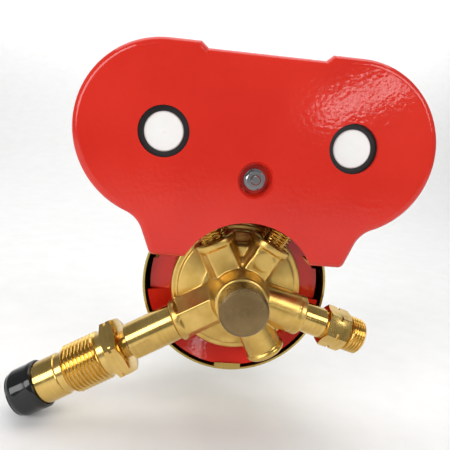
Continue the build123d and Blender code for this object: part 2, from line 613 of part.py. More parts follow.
# ---------------------------------------------------------------- shroud, bracket and guard
def make_shroud():
    """The sheet-metal cup round the bonnet, with three folded tabs and a slot for the bracket."""
    hole_r = BONNET_OUTER_R + LOOSE_GAP
    outer = AXIAL * rod(SHROUD_R, SHROUD_BACK_Y, SHROUD_FRONT_Y)
    outer = fillet(outer.edges().group_by(Axis.Y)[-1], SHROUD_CORNER_R)
    inner = AXIAL * rod(SHROUD_R - SHEET_BRASS, SHROUD_BACK_Y, SHROUD_FRONT_Y - SHEET_BRASS)
    inner = fillet(inner.edges().group_by(Axis.Y)[-1], SHROUD_CORNER_R - SHEET_BRASS)
    shroud = outer - inner - AXIAL * rod(hole_r, SHROUD_BACK_Y, SHROUD_FRONT_Y)
    for angle in SHROUD_TAB_ANGLES:
        tab = block(
            SHROUD_TAB_W, SHROUD_BACK_Y, SHROUD_BACK_Y + SHEET_BRASS,
            SHROUD_R - SHROUD_TAB_DEPTH, SHROUD_R - SHEET_BRASS / 2,
        )
        shroud += Rot(Y=90 - angle) * tab
    slot = block(
        TONGUE_W + 2, SHROUD_BACK_Y - 1, BRACKET_FRONT_Y + 1, SHROUD_R - 8, SHROUD_R + 5,
    )
    return shroud - slot


def make_guard_bracket():
    """The plate clamped under the bonnet: a flat ring, a sloping lower half and a tongue."""
    hole_r = BONNET_THREAD_R + THREAD_GAP
    flat = AXIAL * ring(hole_r, BRACKET_UPPER_R, BODY_FRONT_Y, BRACKET_FRONT_Y)
    ears = AXIAL * ring(hole_r, BRACKET_EAR_R, BODY_FRONT_Y, BRACKET_FRONT_Y)
    ear_reach = 2 * BRACKET_EAR_R
    low = -BRACKET_EAR_R * sin(radians(BRACKET_BEND_ANGLE))
    high = BRACKET_EAR_R * sin(radians(BRACKET_STEP_ANGLE))
    ears &= block(ear_reach, BODY_FRONT_Y, BRACKET_FRONT_Y, low, high)
    tongue = block(TONGUE_W, BODY_FRONT_Y, BRACKET_FRONT_Y, BRACKET_UPPER_R - 6, DIMPLE_Z + TONGUE_W / 2)
    tongue = fillet(tongue.edges().filter_by(Axis.Y).group_by(Axis.Z)[-1], TONGUE_W * 0.35)
    slope = AXIAL * turned(
        (hole_r, BODY_FRONT_Y), (FLANGE_R + 0.4, BODY_FRONT_Y), (BRACKET_R, SHROUD_BACK_Y + SHEET_BRASS),
        (BRACKET_R + 0.4, SHROUD_BACK_Y + SHEET_BRASS + 1.4), (FLANGE_R + 0.8, BRACKET_FRONT_Y),
        (hole_r, BRACKET_FRONT_Y),
    )
    lower_limit = -FLANGE_R * sin(radians(BRACKET_BEND_ANGLE))
    below = block(4 * BRACKET_R, SHROUD_BACK_Y, BRACKET_FRONT_Y, -2 * BRACKET_R, lower_limit)
    above = block(4 * BRACKET_R, BODY_FRONT_Y, BRACKET_FRONT_Y, lower_limit, 2 * BRACKET_R)
    bracket = (flat & above) + (ears & above) + (slope & below) + tongue
    return bracket - Pos(0, 0, DIMPLE_Z) * AXIAL * rod(
        STUD_R + THREAD_GAP, BODY_FRONT_Y - 1, BRACKET_FRONT_Y + 1
    )


def make_guard_stud():
    """A hexagonal pillar from the bracket's tongue to the guard, with a threaded end."""
    pillar = hexagon(STUD_FLATS, DIMPLE_INNER_Y, BODY_FRONT_Y, turn=30)
    end = DIMPLE_FLOOR_Y - WASHER_T - NUT_T - 1.6
    threaded = chamfered_rod(STUD_R, end, DIMPLE_INNER_Y + 1, 0.4)
    rivet = turned(
        (0, BODY_FRONT_Y - 1), (STUD_R, BODY_FRONT_Y - 1), (STUD_R, BRACKET_FRONT_Y),
        (STUD_R + 1.8, BRACKET_FRONT_Y), (STUD_R + 1.2, BRACKET_FRONT_Y + 1.2), (0, BRACKET_FRONT_Y + 1.4),
    )
    return Pos(0, 0, DIMPLE_Z) * AXIAL * (pillar + threaded + rivet)


def make_guard_washer():
    low = DIMPLE_FLOOR_Y - WASHER_T
    return Pos(0, 0, DIMPLE_Z) * AXIAL * ring(STUD_R + 0.2, WASHER_R, low, DIMPLE_FLOOR_Y)


def make_guard_nut():
    high = DIMPLE_FLOOR_Y - WASHER_T
    nut = hexagon(NUT_FLATS, high - NUT_T, high, turn=12)
    nut -= rod(STUD_R + THREAD_GAP, high - NUT_T - 1, high + 1)
    return Pos(0, 0, DIMPLE_Z) * AXIAL * nut


def guard_outline(shrink):
    """The guard's outline before the arch is cut, as a face in X and Z, drawn inwards by shrink."""
    lobe_r = LOBE_R - shrink
    top = LOBE_Z + lobe_r
    low = LEG_Z + shrink
    high = LOBE_Z - LOBE_R / 2
    step = LOBE_X - GUARD_STEP_FROM_LOBE
    run = step - GUARD_STEP_RUN
    side = LEG_X - shrink * sqrt(1 + LEG_LEAN ** 2)
    half = make_face(Polyline(
        (0, top - GUARD_TOP_STEP), (run, top - GUARD_TOP_STEP), (step, top), (LOBE_X, top),
        (LOBE_X, LOBE_Z), (side + LEG_LEAN * (high - LEG_Z), high),
        (side + LEG_LEAN * (low - LEG_Z), low), (0, low),
        close=True,
    ))
    half += Pos(LOBE_X, LOBE_Z) * Circle(lobe_r)
    half -= Pos(0, top) * Rectangle(2 * run, 2 * GUARD_TOP_STEP)
    half &= Pos(0, LOBE_Z) * Rectangle(4 * LOBE_R, 4 * LOBE_R, align=(Align.MIN, Align.CENTER))
    near_waist = Vertex(side + LEG_LEAN * LEG_Z * 0.8, LOBE_Z - LOBE_R, 0)
    waist = half.vertices().sort_by_distance(near_waist)[0]
    half = fillet(waist, WAIST_R + shrink)
    foot = half.vertices().sort_by_distance(Vertex(LEG_X, LEG_Z, 0))[0]
    half = fillet(foot, LEG_CORNER_R - shrink)
    return half + mirror(half, Plane.YZ)


def make_guard():
    upright = Rot(X=90)    # turns a face drawn in X and Y up into X and Z, looking along -Y
    depth = GUARD_FRONT_Y - GUARD_BACK_Y
    outer = Pos(0, GUARD_FRONT_Y, 0) * upright * extrude(guard_outline(0), depth)
    outer = fillet(outer.edges().group_by(Axis.Y)[0], GUARD_EDGE_R)
    inner = Pos(0, GUARD_FRONT_Y, 0) * upright * extrude(guard_outline(GUARD_SHEET), depth - GUARD_SHEET)
    inner = fillet(inner.edges().group_by(Axis.Y)[0], GUARD_EDGE_R - GUARD_SHEET)
    guard = outer - inner
    drop = ARCH_TOP_Z - LEG_Z
    arch_r = (LEG_INNER_X ** 2 + drop ** 2) / (2 * drop)
    guard -= Pos(0, 0, ARCH_TOP_Z - arch_r) * AXIAL * rod(arch_r, GUARD_BACK_Y - 1, GUARD_FRONT_Y + 1)
    guard -= block(4 * LEG_X, LEG_WALL_Y, GUARD_FRONT_Y + 1, LEG_Z - 5, LOBE_Z - LOBE_R)
    for side in (-1, 1):
        guard -= Pos(side * LOBE_X, 0, LOBE_Z) * AXIAL * rod(BLOWOUT_HOLE_R, GUARD_BACK_Y - 1, 0)
    cup_r = DIMPLE_R + GUARD_SHEET
    cup = turned(
        (0, GUARD_BACK_Y + 0.2), (cup_r, GUARD_BACK_Y + 0.2), (cup_r - 1, DIMPLE_INNER_Y),
        (0, DIMPLE_INNER_Y),
    )
    recess = turned(
        (0, GUARD_BACK_Y - 1), (DIMPLE_R + 0.8, GUARD_BACK_Y - 1), (DIMPLE_R + 0.8, GUARD_BACK_Y),
        (DIMPLE_R, GUARD_BACK_Y + 1), (DIMPLE_R - 1, DIMPLE_FLOOR_Y), (0, DIMPLE_FLOOR_Y),
    )
    hole = rod(STUD_R + 0.2, GUARD_BACK_Y, DIMPLE_INNER_Y + 1)
    place = Pos(0, 0, DIMPLE_Z) * AXIAL
    return (guard + place * cup) - place * recess - place * hole


# ---------------------------------------------------------------- gauges, built upright
def make_gauge_case():
    case = AXIAL * turned(
        (0, CASE_BACK_Y), (CASE_R - 2.5, CASE_BACK_Y), (CASE_R - 0.7, CASE_BACK_Y + 0.7),
        (CASE_R, CASE_BACK_Y + 2.5), (CASE_R, CASE_FRONT_Y), (CASE_R - CASE_WALL, CASE_FRONT_Y),
        (CASE_R - CASE_WALL, CASE_BACK_Y + 2.5), (CASE_R - 2.5, CASE_BACK_Y + CASE_WALL),
        (0, CASE_BACK_Y + CASE_WALL),
    )
    case -= AXIAL * rod(DISC_R + THREAD_GAP, CASE_BACK_Y - 1, CASE_BACK_Y + 2)
    return case - rod(NECK_R + THREAD_GAP, -CASE_R - 2, -CASE_R + 6)


def make_bezel():
    front = CASE_FRONT_Y + LENS_T + 0.2
    back = front + 1.0 - BEZEL_DEPTH
    return AXIAL * turned(
        (CASE_R + THREAD_GAP, back), (BEZEL_R, back), (BEZEL_R, front), (BEZEL_R - 1, front + 1),
        (BEZEL_R - 4, front + 1), (BEZEL_R - 4.6, front + 0.5), (BEZEL_R - 4.6, front),
        (CASE_R + THREAD_GAP, front),
    )


def make_lens():
    return AXIAL * rod(CASE_R - 0.1, CASE_FRONT_Y + 0.1, CASE_FRONT_Y + 0.1 + LENS_T)


def make_dial():
    dial = AXIAL * ring(ARBOR_R + 0.6, DIAL_R, DIAL_Y, DIAL_Y + DIAL_T)
    for side in (-1, 1):
        dial -= Pos(side * PILLAR_X, 0, 0) * AXIAL * rod(0.9, DIAL_Y - 1, DIAL_Y + 2)
    stop = Rot(Y=POINTER_ZERO + 8) * Pos(0, 0, 19) * AXIAL * rod(0.5, DIAL_Y + DIAL_T / 2, DIAL_Y + 2.6)
    return dial + stop


def make_dial_screws():
    high = DIAL_Y + DIAL_T
    screw = rod(0.85, MOVEMENT_FRONT_Y + 4, high) + rod(1.5, high, high + 0.7)
    return Compound([Pos(side * PILLAR_X, 0, 0) * AXIAL * screw for side in (-1, 1)])


def make_pointer():
    """The pointer lies at zero: a slim blade, a short tail and a hub on the arbor."""
    low = DIAL_Y + DIAL_T + 1.6
    blade = make_face(Polyline(
        (-1.3, -7), (1.3, -7), (1.0, 0), (0.25, POINTER_LENGTH), (-0.25, POINTER_LENGTH), (-1.0, 0),
        close=True,
    ))
    blade = Pos(0, low + 0.5, 0) * Rot(X=90) * extrude(blade, 0.5)
    hub = AXIAL * rod(2.2, low - 0.3, low + 1.2)
    bore = AXIAL * rod(ARBOR_R + THREAD_GAP, low - 1, low + 0.9)
    return Rot(Y=POINTER_ZERO) * (blade + hub - bore)


def make_pinion():
    """The arbor with its pinion, which carries the pointer."""
    end = DIAL_Y + DIAL_T + 2.4
    arbor = rod(ARBOR_R, MOVEMENT_BACK_Y + 0.1, end)
    return AXIAL * (arbor + rod(PINION_R, MOVEMENT_BACK_Y + 2.4, MOVEMENT_FRONT_Y - 2))


def make_sector():
    """The toothed sector that turns the pinion, at the zero end of its swing."""
    low = MOVEMENT_BACK_Y + 3.2
    reach = SECTOR_R + 6
    wide = reach * sin(radians(SECTOR_HALF_ANGLE))
    tall = reach * cos(radians(SECTOR_HALF_ANGLE))
    wedge = make_face(Polyline((0, 0), (wide, tall), (-wide, tall), close=True))
    wedge = (Pos(0, low + 1, 0) * Rot(X=90) * extrude(wedge, 1)) & (AXIAL * rod(SECTOR_R, low, low + 1))
    hub = AXIAL * rod(2.0, low - 0.4, low + 1.4)
    tail = block(2.4, low, low + 1, -SECTOR_TAIL, 0)
    shaft = AXIAL * rod(1.0, MOVEMENT_BACK_Y + 0.1, MOVEMENT_FRONT_Y + MOVEMENT_PLATE_T)
    return Pos(0, 0, SECTOR_PIVOT_Z) * Rot(Y=-SECTOR_SWING / 2) * (wedge + hub + tail + shaft)


def make_movement():
    """Two plates on pillars that carry the arbor and the sector, standing on the socket."""
    back = block(16, MOVEMENT_BACK_Y, MOVEMENT_BACK_Y + MOVEMENT_PLATE_T, SOCKET_BLOCK_TOP, 6)
    ears = block(2 * PILLAR_X + 5, MOVEMENT_BACK_Y, MOVEMENT_BACK_Y + MOVEMENT_PLATE_T, -3, 3)
    front_high = MOVEMENT_FRONT_Y + MOVEMENT_PLATE_T
    front = block(9, MOVEMENT_FRONT_Y, front_high, SECTOR_PIVOT_Z - 3, 4)
    front += block(2 * PILLAR_X + 4, MOVEMENT_FRONT_Y, front_high, -2.5, 2.5)
    frame = back + ears + front
    for side in (-1, 1):
        frame += Pos(side * PILLAR_X, 0, 0) * AXIAL * rod(1.8, MOVEMENT_BACK_Y, DIAL_Y)
        frame -= Pos(side * PILLAR_X, 0, 0) * AXIAL * rod(0.9, MOVEMENT_FRONT_Y + 3.9, DIAL_Y + 1)
    frame -= AXIAL * rod(ARBOR_R + RUNNING_GAP, MOVEMENT_BACK_Y - 1, DIAL_Y)
    frame -= Pos(0, 0, SECTOR_PIVOT_Z) * AXIAL * rod(1.0 + RUNNING_GAP, MOVEMENT_BACK_Y - 1, DIAL_Y)
    return frame


def tube_ring(grow, start, sweep_angle):
    """The curved flattened tube, as a ring of rectangular section about Y, or its pocket."""
    half_t = TUBE_THICK / 2 + grow
    half_w = TUBE_WIDE / 2 + grow
    section = Pos(TUBE_ARC_R, TUBE_ARC_Y) * Rectangle(2 * half_t, 2 * half_w)
    if not grow:
        section = fillet(section.vertices(), TUBE_THICK * 0.4)
    return Rot(Y=start) * revolve(section, axis=Axis.Y, revolution_arc=sweep_angle)


def make_bourdon_tube():
    return tube_ring(0, 75, 275)


def make_socket():
    """The gauge's brass socket: block inside the case, square for a wrench, taper thread."""
    inner_r = CASE_R - CASE_WALL
    floor = LOOSE_GAP - sqrt(inner_r ** 2 - (SOCKET_BLOCK_W / 2) ** 2)
    square_top = -BEZEL_R - LOOSE_GAP
    back = TUBE_ARC_Y - TUBE_WIDE / 2 - 0.6
    inside = block(SOCKET_BLOCK_W, back, DIAL_Y - 1.2, floor, SOCKET_BLOCK_TOP)
    inside -= tube_ring(0.05, 60, 60)
    neck = rod(NECK_R, square_top - 1, floor + 1)
    square = block(SOCKET_FLATS, -SOCKET_FLATS / 2, SOCKET_FLATS / 2, SOCKET_SQUARE_END, square_top)
    square = chamfer(square.edges().filter_by(Axis.Z), 1.0)
    thread_r = PORT_BORE_R - THREAD_GAP
    thread = turned(
        (0, SOCKET_END), (thread_r - 0.8, SOCKET_END), (thread_r, SOCKET_END + 0.8),
        (thread_r, SOCKET_SQUARE_END - 1.2), (thread_r - 0.6, SOCKET_SQUARE_END - 0.6),
        (thread_r - 0.6, SOCKET_SQUARE_END + 0.2), (0, SOCKET_SQUARE_END + 0.2),
    )
    socket = inside + neck + square + thread
    return socket - rod(1.6, SOCKET_END - 1, SOCKET_BLOCK_TOP - 4)


def make_blowout_disc():
    return AXIAL * turned(
        (0, CASE_BACK_Y - 0.3), (DISC_R - 0.4, CASE_BACK_Y - 0.2), (DISC_R, CASE_BACK_Y + 0.2),
        (DISC_R, CASE_BACK_Y + CASE_WALL), (0, CASE_BACK_Y + CASE_WALL),
    )


# ---------------------------------------------------------------- inlet connection, built about Z
def make_inlet_stem():
    shank_r = PORT_BORE_R - THREAD_GAP
    stem = turned(
        (0, PORT_FLOOR + 1), (shank_r - 0.8, PORT_FLOOR + 1), (shank_r, PORT_FLOOR + 1.8),
        (shank_r, INLET_BOSS_END), (STEM_R - 0.4, INLET_BOSS_END), (STEM_R, INLET_BOSS_END + 0.4),
        (STEM_R, STEM_END - 0.5), (STEM_R - 0.5, STEM_END), (0, STEM_END),
    )
    for side in (-1, 1):
        cut = Pos(side * (STEM_R - STEM_FLAT_CUT + 5), 0, STEM_END - STEM_FLAT_LENGTH / 2 + 0.5) * Box(
            10, 4 * STEM_R, STEM_FLAT_LENGTH + 1
        )
        stem -= Rot(Z=STEM_FLAT_TURN) * cut
    stem -= rod(STEM_BORE_R, PORT_FLOOR, STEM_END)
    return stem - rod(NIPPLE_THREAD_R + THREAD_GAP, STEM_END - NIPPLE_THREAD_LENGTH - 1, STEM_END + 1)


def make_inlet_nipple():
    """The shank that carries the nut, and the rounded nose that seals in the valve."""
    groove = oring_height()
    round_start = NOSE_END - NOSE_R * 0.7
    nose = turned(
        (0, STEM_END - NIPPLE_THREAD_LENGTH), (NIPPLE_THREAD_R, STEM_END - NIPPLE_THREAD_LENGTH),
        (NIPPLE_THREAD_R, STEM_END), (NIPPLE_R, STEM_END), (NIPPLE_R, SHOULDER_START),
        (SHOULDER_R - 0.3, SHOULDER_START), (SHOULDER_R, SHOULDER_START + 0.3),
        (SHOULDER_R, NOSE_START - 0.3), (NOSE_R - 0.2, NOSE_START - 0.1), (NOSE_R, NOSE_START + 0.2),
        (NOSE_R, groove - ORING_WIRE_R), (NOSE_R - 2 * ORING_WIRE_R, groove - ORING_WIRE_R),
        (NOSE_R - 2 * ORING_WIRE_R, groove + ORING_WIRE_R), (NOSE_R, groove + ORING_WIRE_R),
        (NOSE_R, round_start),
        *[(NOSE_R * cos(radians(a)), round_start + NOSE_R * 0.7 * sin(radians(a))) for a in (15, 30, 45)],
        (NOSE_R * 0.5, NOSE_END), (0, NOSE_END),
    )
    nose -= rod(STEM_BORE_R - 0.5, STEM_END - NIPPLE_THREAD_LENGTH - 1, NOSE_END)
    return nose - rod(NOSE_BORE_R, NOSE_END - 15, NOSE_END + 1)


def oring_height():
    """Distance from the body axis to the O-ring in the nose, under the cap."""
    return CAP_START + 3.0


def make_nose_oring():
    section = Pos(NOSE_R - ORING_WIRE_R - 0.04, oring_height()) * Circle(ORING_WIRE_R - 0.04)
    return revolve(Rot(X=90) * section, axis=Axis.Z)


def make_inlet_filter():
    """A sintered cup that sits in the mouth of the nose."""
    outer = NOSE_BORE_R - THREAD_GAP
    return turned(
        (0, NOSE_END - 14), (outer - 0.8, NOSE_END - 14), (outer, NOSE_END - 1.5), (outer, NOSE_END - 0.4),
        (outer - 1, NOSE_END - 0.4), (outer - 1.8, NOSE_END - 13), (0, NOSE_END - 13),
    )


def make_inlet_nut():
    """The swivelling nut: hexagon with marked corners, collar and left-hand thread."""
    collar_start = NUT_START + INLET_HEX_LENGTH
    thread_start = collar_start + INLET_COLLAR_LENGTH
    nut = hexagon(INLET_HEX_FLATS, NUT_START, collar_start, turn=INLET_HEX_TURN)
    nut += turned(
        (0, collar_start - 0.5), (INLET_COLLAR_R, collar_start - 0.5), (INLET_COLLAR_R, thread_start),
        (INLET_THREAD_R, thread_start + THREAD_RUN_OUT), (INLET_THREAD_R, NUT_END - THREAD_CHAMFER),
        (INLET_THREAD_R - THREAD_CHAMFER, NUT_END), (0, NUT_END),
    )
    corner_r = INLET_HEX_FLATS / sqrt(3)
    mid = NUT_START + INLET_HEX_LENGTH / 2
    groove_r = corner_r - NOTCH_DEPTH
    nut -= ring(groove_r, corner_r + 1, mid - NOTCH_W / 2, mid + NOTCH_W / 2)
    return nut - rod(NIPPLE_R + RUNNING_GAP, NUT_START - 1, NUT_END + 1)


def make_inlet_cap():
    """The moulded dust cap, with a domed end."""
    inner = NOSE_R + RUNNING_GAP
    outer = inner + CAP_WALL
    end = NOSE_END + 2.0
    dome = [(outer * cos(radians(a)), end - CAP_DOME * (1 - sin(radians(a)))) for a in (0, 20, 40, 60, 75)]
    return turned(
        (inner, CAP_START), (outer, CAP_START), *dome, (0, end), (0, NOSE_END + LOOSE_GAP),
        (inner, NOSE_END + LOOSE_GAP),
    )


# ---------------------------------------------------------------- outlet connection, built about Z
def make_outlet_fitting():
    shank_r = PORT_BORE_R - THREAD_GAP
    relief_r = OUTLET_THREAD_R - 1.0
    fitting = turned(
        (0, PORT_FLOOR + 1), (shank_r - 0.8, PORT_FLOOR + 1), (shank_r, PORT_FLOOR + 1.8),
        (shank_r, OUTLET_BOSS_END), (OUTLET_TUBE_R, OUTLET_BOSS_END), (OUTLET_TUBE_R, OUTLET_HEX_START + 0.5),
        (0, OUTLET_HEX_START + 0.5),
    )
    fitting += hexagon(OUTLET_HEX_FLATS, OUTLET_HEX_START, OUTLET_THREAD_START, turn=OUTLET_HEX_TURN)
    fitting += turned(
        (0, OUTLET_THREAD_START - 0.5), (relief_r, OUTLET_THREAD_START - 0.5),
        (relief_r, OUTLET_THREAD_START + OUTLET_RELIEF - 0.6),
        (OUTLET_THREAD_R, OUTLET_THREAD_START + OUTLET_RELIEF),
        (OUTLET_THREAD_R, OUTLET_END - THREAD_CHAMFER), (OUTLET_THREAD_R - THREAD_CHAMFER, OUTLET_END),
        (0, OUTLET_END),
    )
    corner_r = OUTLET_HEX_FLATS / sqrt(3)
    mid = (OUTLET_HEX_START + OUTLET_THREAD_START) / 2
    groove_r = corner_r - NOTCH_DEPTH
    fitting -= ring(groove_r, corner_r + 1, mid - NOTCH_W / 2, mid + NOTCH_W / 2)
    fitting -= rod(OUTLET_BORE_R, PORT_FLOOR, OUTLET_END + 1)
    seat_start = OUTLET_END - OUTLET_SEAT_DEPTH
    seat = turned(
        (0, seat_start), (OUTLET_BORE_R, seat_start), (OUTLET_BORE_R + OUTLET_SEAT_FLARE, OUTLET_END),
        (0, OUTLET_END),
    )
    return fitting - seat


# ---------------------------------------------------------------- assembly
GAUGE_PIECES = {
    "case": make_gauge_case,
    "bezel": make_bezel,
    "lens": make_lens,
    "dial": make_dial,
    "dial_screws": make_dial_screws,
    "pointer": make_pointer,
    "pinion": make_pinion,
    "sector": make_sector,
    "movement": make_movement,
    "bourdon_tube": make_bourdon_tube,
    "socket": make_socket,
    "blowout_disc": make_blowout_disc,
}

BODY_PIECES = {
    "body": make_body,
    "rear_plug": make_rear_plug,
    "rear_plug_gasket": make_plug_gasket,
    "seat_nozzle": make_seat_nozzle,
    "valve_poppet": make_valve_poppet,
    "valve_spring": make_valve_spring,
    "diaphragm": make_diaphragm,
    "diaphragm_plate": make_diaphragm_plate,
    "bonnet": make_bonnet,
    "adjusting_spring": make_adjusting_spring,
    "spring_button": make_spring_button,
    "adjusting_screw": make_adjusting_screw,
    "knob": make_knob,
    "knob_grub_screw": grub_screw,
    "knob_cap": make_knob_cap,
    "shroud": make_shroud,
    "guard_bracket": make_guard_bracket,
    "guard_stud": make_guard_stud,
    "guard": make_guard,
    "guard_washer": make_guard_washer,
    "guard_nut": make_guard_nut,
}

INLET_PIECES = {
    "inlet_stem": make_inlet_stem,
    "inlet_nipple": make_inlet_nipple,
    "nose_oring": make_nose_oring,
    "inlet_filter": make_inlet_filter,
    "inlet_nut": make_inlet_nut,
    "inlet_cap": make_inlet_cap,
}


def origin_shift():
    """Moves the outer end of the full inlet thread to the origin."""
    reach = NUT_END - THREAD_CHAMFER
    return Pos(-reach * cos(radians(INLET_ANGLE)), 0, -reach * sin(radians(INLET_ANGLE)))


def build_all():
    """Every piece by node name, in the part's own frame."""
    pieces = {name: make() for name, make in BODY_PIECES.items()}
    for name, make in INLET_PIECES.items():
        pieces[name] = port(INLET_ANGLE) * make()
    pieces["outlet_fitting"] = port(OUTLET_ANGLE) * make_outlet_fitting()
    for side, angle in (("left", LEFT_GAUGE_ANGLE), ("right", RIGHT_GAUGE_ANGLE)):
        for name, make in GAUGE_PIECES.items():
            pieces[f"{side}_{name}"] = gauge_place(angle) * make()
    shift = origin_shift()
    return {name: shift * piece for name, piece in pieces.items()}


os.makedirs("parts", exist_ok=True)
for node, shape in build_all().items():
    export_step(shape, f"parts/{node}.step")
    print(node, round(shape.volume, 1))
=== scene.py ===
# %% [markdown]
# # A two-gauge gas regulator
#
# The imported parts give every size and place. This lesson keeps the parts whose shape is already
# right and paints them, and rebuilds the ones that need more: the forged body, the screw threads,
# the moulded cap and the dials. Everything is in metres. The body's axis runs along Y, its back
# looks along -Y, and Z is up.

import json
from math import cos, pi, radians, sin

import bmesh
import bpy
from mathutils import Matrix, Vector


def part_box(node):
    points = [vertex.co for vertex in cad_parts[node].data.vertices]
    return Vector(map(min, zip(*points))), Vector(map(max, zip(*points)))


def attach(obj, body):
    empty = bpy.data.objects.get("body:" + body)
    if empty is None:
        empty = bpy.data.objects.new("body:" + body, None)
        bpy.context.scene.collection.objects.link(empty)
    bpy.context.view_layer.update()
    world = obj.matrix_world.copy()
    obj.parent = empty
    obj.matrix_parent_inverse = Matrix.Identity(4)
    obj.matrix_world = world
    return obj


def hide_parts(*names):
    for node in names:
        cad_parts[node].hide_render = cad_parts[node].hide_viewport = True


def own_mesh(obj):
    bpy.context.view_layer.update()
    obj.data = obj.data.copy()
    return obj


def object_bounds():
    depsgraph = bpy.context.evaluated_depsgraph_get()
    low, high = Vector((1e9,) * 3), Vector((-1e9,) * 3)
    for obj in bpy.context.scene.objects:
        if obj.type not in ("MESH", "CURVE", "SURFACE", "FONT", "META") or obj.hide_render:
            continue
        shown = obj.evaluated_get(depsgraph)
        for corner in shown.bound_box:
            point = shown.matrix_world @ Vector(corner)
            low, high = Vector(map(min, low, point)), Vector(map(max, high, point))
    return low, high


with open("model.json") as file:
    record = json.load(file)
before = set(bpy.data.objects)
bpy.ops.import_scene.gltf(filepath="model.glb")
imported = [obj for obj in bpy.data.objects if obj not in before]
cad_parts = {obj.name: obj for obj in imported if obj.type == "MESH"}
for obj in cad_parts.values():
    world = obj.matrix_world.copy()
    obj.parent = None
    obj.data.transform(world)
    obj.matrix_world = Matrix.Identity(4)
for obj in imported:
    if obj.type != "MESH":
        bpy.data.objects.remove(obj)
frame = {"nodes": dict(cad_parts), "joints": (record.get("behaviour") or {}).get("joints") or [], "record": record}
cad_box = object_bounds()
nodes = frame["nodes"]
mounts = {m["name"]: m for m in frame["record"]["mounts"]}
MM = 0.001
print("pieces from the frame:", len(nodes))

# %% [markdown]
# ## Where things are
#
# A turned piece is easy to make upright about Z and then to lay along its own axis. So each port
# gets a matrix that takes local Z to the port's direction. The directions come from the mounts
# and from the pieces themselves.

# %% Axes of the body, the ports and the gauges
low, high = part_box("rear_plug")
body_centre = Vector(((low.x + high.x) / 2, 0, (low.z + high.z) / 2))
inlet_out = Vector(mounts["inlet_thread"]["axis"]).normalized()
outlet_out = Vector(mounts["outlet_thread"]["axis"]).normalized()


def centre_of(node):
    low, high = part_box(node)
    return (low + high) / 2


def lay_along(origin, out, side=Vector((0, -1, 0))):
    """A matrix that stands local Z along out and local X along side, about origin."""
    across = out.cross(side).normalized()
    columns = Matrix((side, across, out)).transposed()
    return Matrix.Translation(origin) @ columns.to_4x4()


gauge_centre, gauge_up = {}, {}
for side in ("left", "right"):
    middle = centre_of(f"{side}_lens")
    gauge_centre[side] = Vector((middle.x, 0, middle.z))
    gauge_up[side] = (gauge_centre[side] - body_centre).normalized()

inlet_place = lay_along(body_centre, inlet_out)
outlet_place = lay_along(body_centre, outlet_out)
gauge_place = {side: lay_along(body_centre, gauge_up[side]) for side in gauge_up}
axial_place = lay_along(body_centre, Vector((0, 1, 0)), Vector((1, 0, 0)))
print("body axis at", [round(v, 4) for v in body_centre])


def reach(node, place):
    """A node's lowest and highest point along a place's local Z, and its largest radius."""
    back = place.inverted()
    points = [back @ v.co for v in nodes[node].data.vertices]
    heights = [p.z for p in points]
    return min(heights), max(heights), max(p.xy.length for p in points)


# %% [markdown]
# ## The camera, the floor and the light
#
# The regulator is seen from behind and a little above, with a longish lens. It stands on a white
# sheet that rises behind it, so the floor is one bent strip. A large soft light hangs over it.
# Two panels stand before it, each with its long side along one of the ports, so that the round
# fittings carry a long bright line. A narrow strip on the right is what shows the ripple in the
# enamel.

# %% Camera
CAMERA_RIGHT = Vector((0.9929, -0.0741, 0.0927))
CAMERA_UP = Vector((-0.0782, 0.1790, 0.9807))
CAMERA_FROM_BODY = Vector((-0.0280, -0.2115, 0.0679))
camera_data = bpy.data.cameras.new("camera")
camera_data.lens = 38.4
camera_data.sensor_width = 36.0
camera_data.dof.use_dof = False
camera = bpy.data.objects.new("camera", camera_data)
bpy.context.scene.collection.objects.link(camera)
turned_to = Matrix((CAMERA_RIGHT, CAMERA_UP, CAMERA_RIGHT.cross(CAMERA_UP))).transposed().to_4x4()
camera.matrix_world = Matrix.Translation(body_centre + CAMERA_FROM_BODY) @ turned_to
bpy.context.scene.camera = camera
print("camera at", [round(v, 4) for v in camera.matrix_world.translation])


# %% Small helpers for meshes
def to_object(bm, name, sharp=30.0):
    """Makes an object of a bmesh, smooth except along edges sharper than the given angle."""
    for face in bm.faces:
        face.smooth = True
    for edge in bm.edges:
        if len(edge.link_faces) == 2:
            edge.smooth = edge.calc_face_angle(0.0) < radians(sharp)
    mesh = bpy.data.meshes.new(name)
    bm.to_mesh(mesh)
    bm.free()
    obj = bpy.data.objects.new(name, mesh)
    bpy.context.scene.collection.objects.link(obj)
    return obj


def lathe(outline, steps=128):
    """Spins an outline of (radius, height) points, in millimetres, round Z.

    The outline is closed where both of its ends are off the axis."""
    bm = bmesh.new()
    verts = [bm.verts.new((r * MM, 0, h * MM)) for r, h in outline]
    loop = list(zip(verts, verts[1:]))
    if outline[0][0] > 0 and outline[-1][0] > 0:
        loop.append((verts[-1], verts[0]))
    edges = [bm.edges.new(pair) for pair in loop]
    bmesh.ops.spin(
        bm, geom=verts + edges, cent=(0, 0, 0), axis=(0, 0, 1), angle=2 * pi, steps=steps,
        use_merge=True, use_duplicate=False,
    )
    bmesh.ops.remove_doubles(bm, verts=bm.verts, dist=1e-6)
    bmesh.ops.recalc_face_normals(bm, faces=bm.faces)
    return bm


def merged_copy(node):
    """A CAD node's mesh as a bmesh with its loose triangles joined up."""
    bm = bmesh.new()
    bm.from_mesh(nodes[node].data)
    bmesh.ops.remove_doubles(bm, verts=bm.verts, dist=2e-6)
    return bm


def finish_piece(obj, body, slot_name, *replaced):
    """Says what a piece rides on and what it stands for. slot_name is not used."""
    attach(obj, body)
    if replaced:
        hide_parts(*replaced)
    print(obj.name, "has", len(obj.data.polygons), "faces")
    return obj


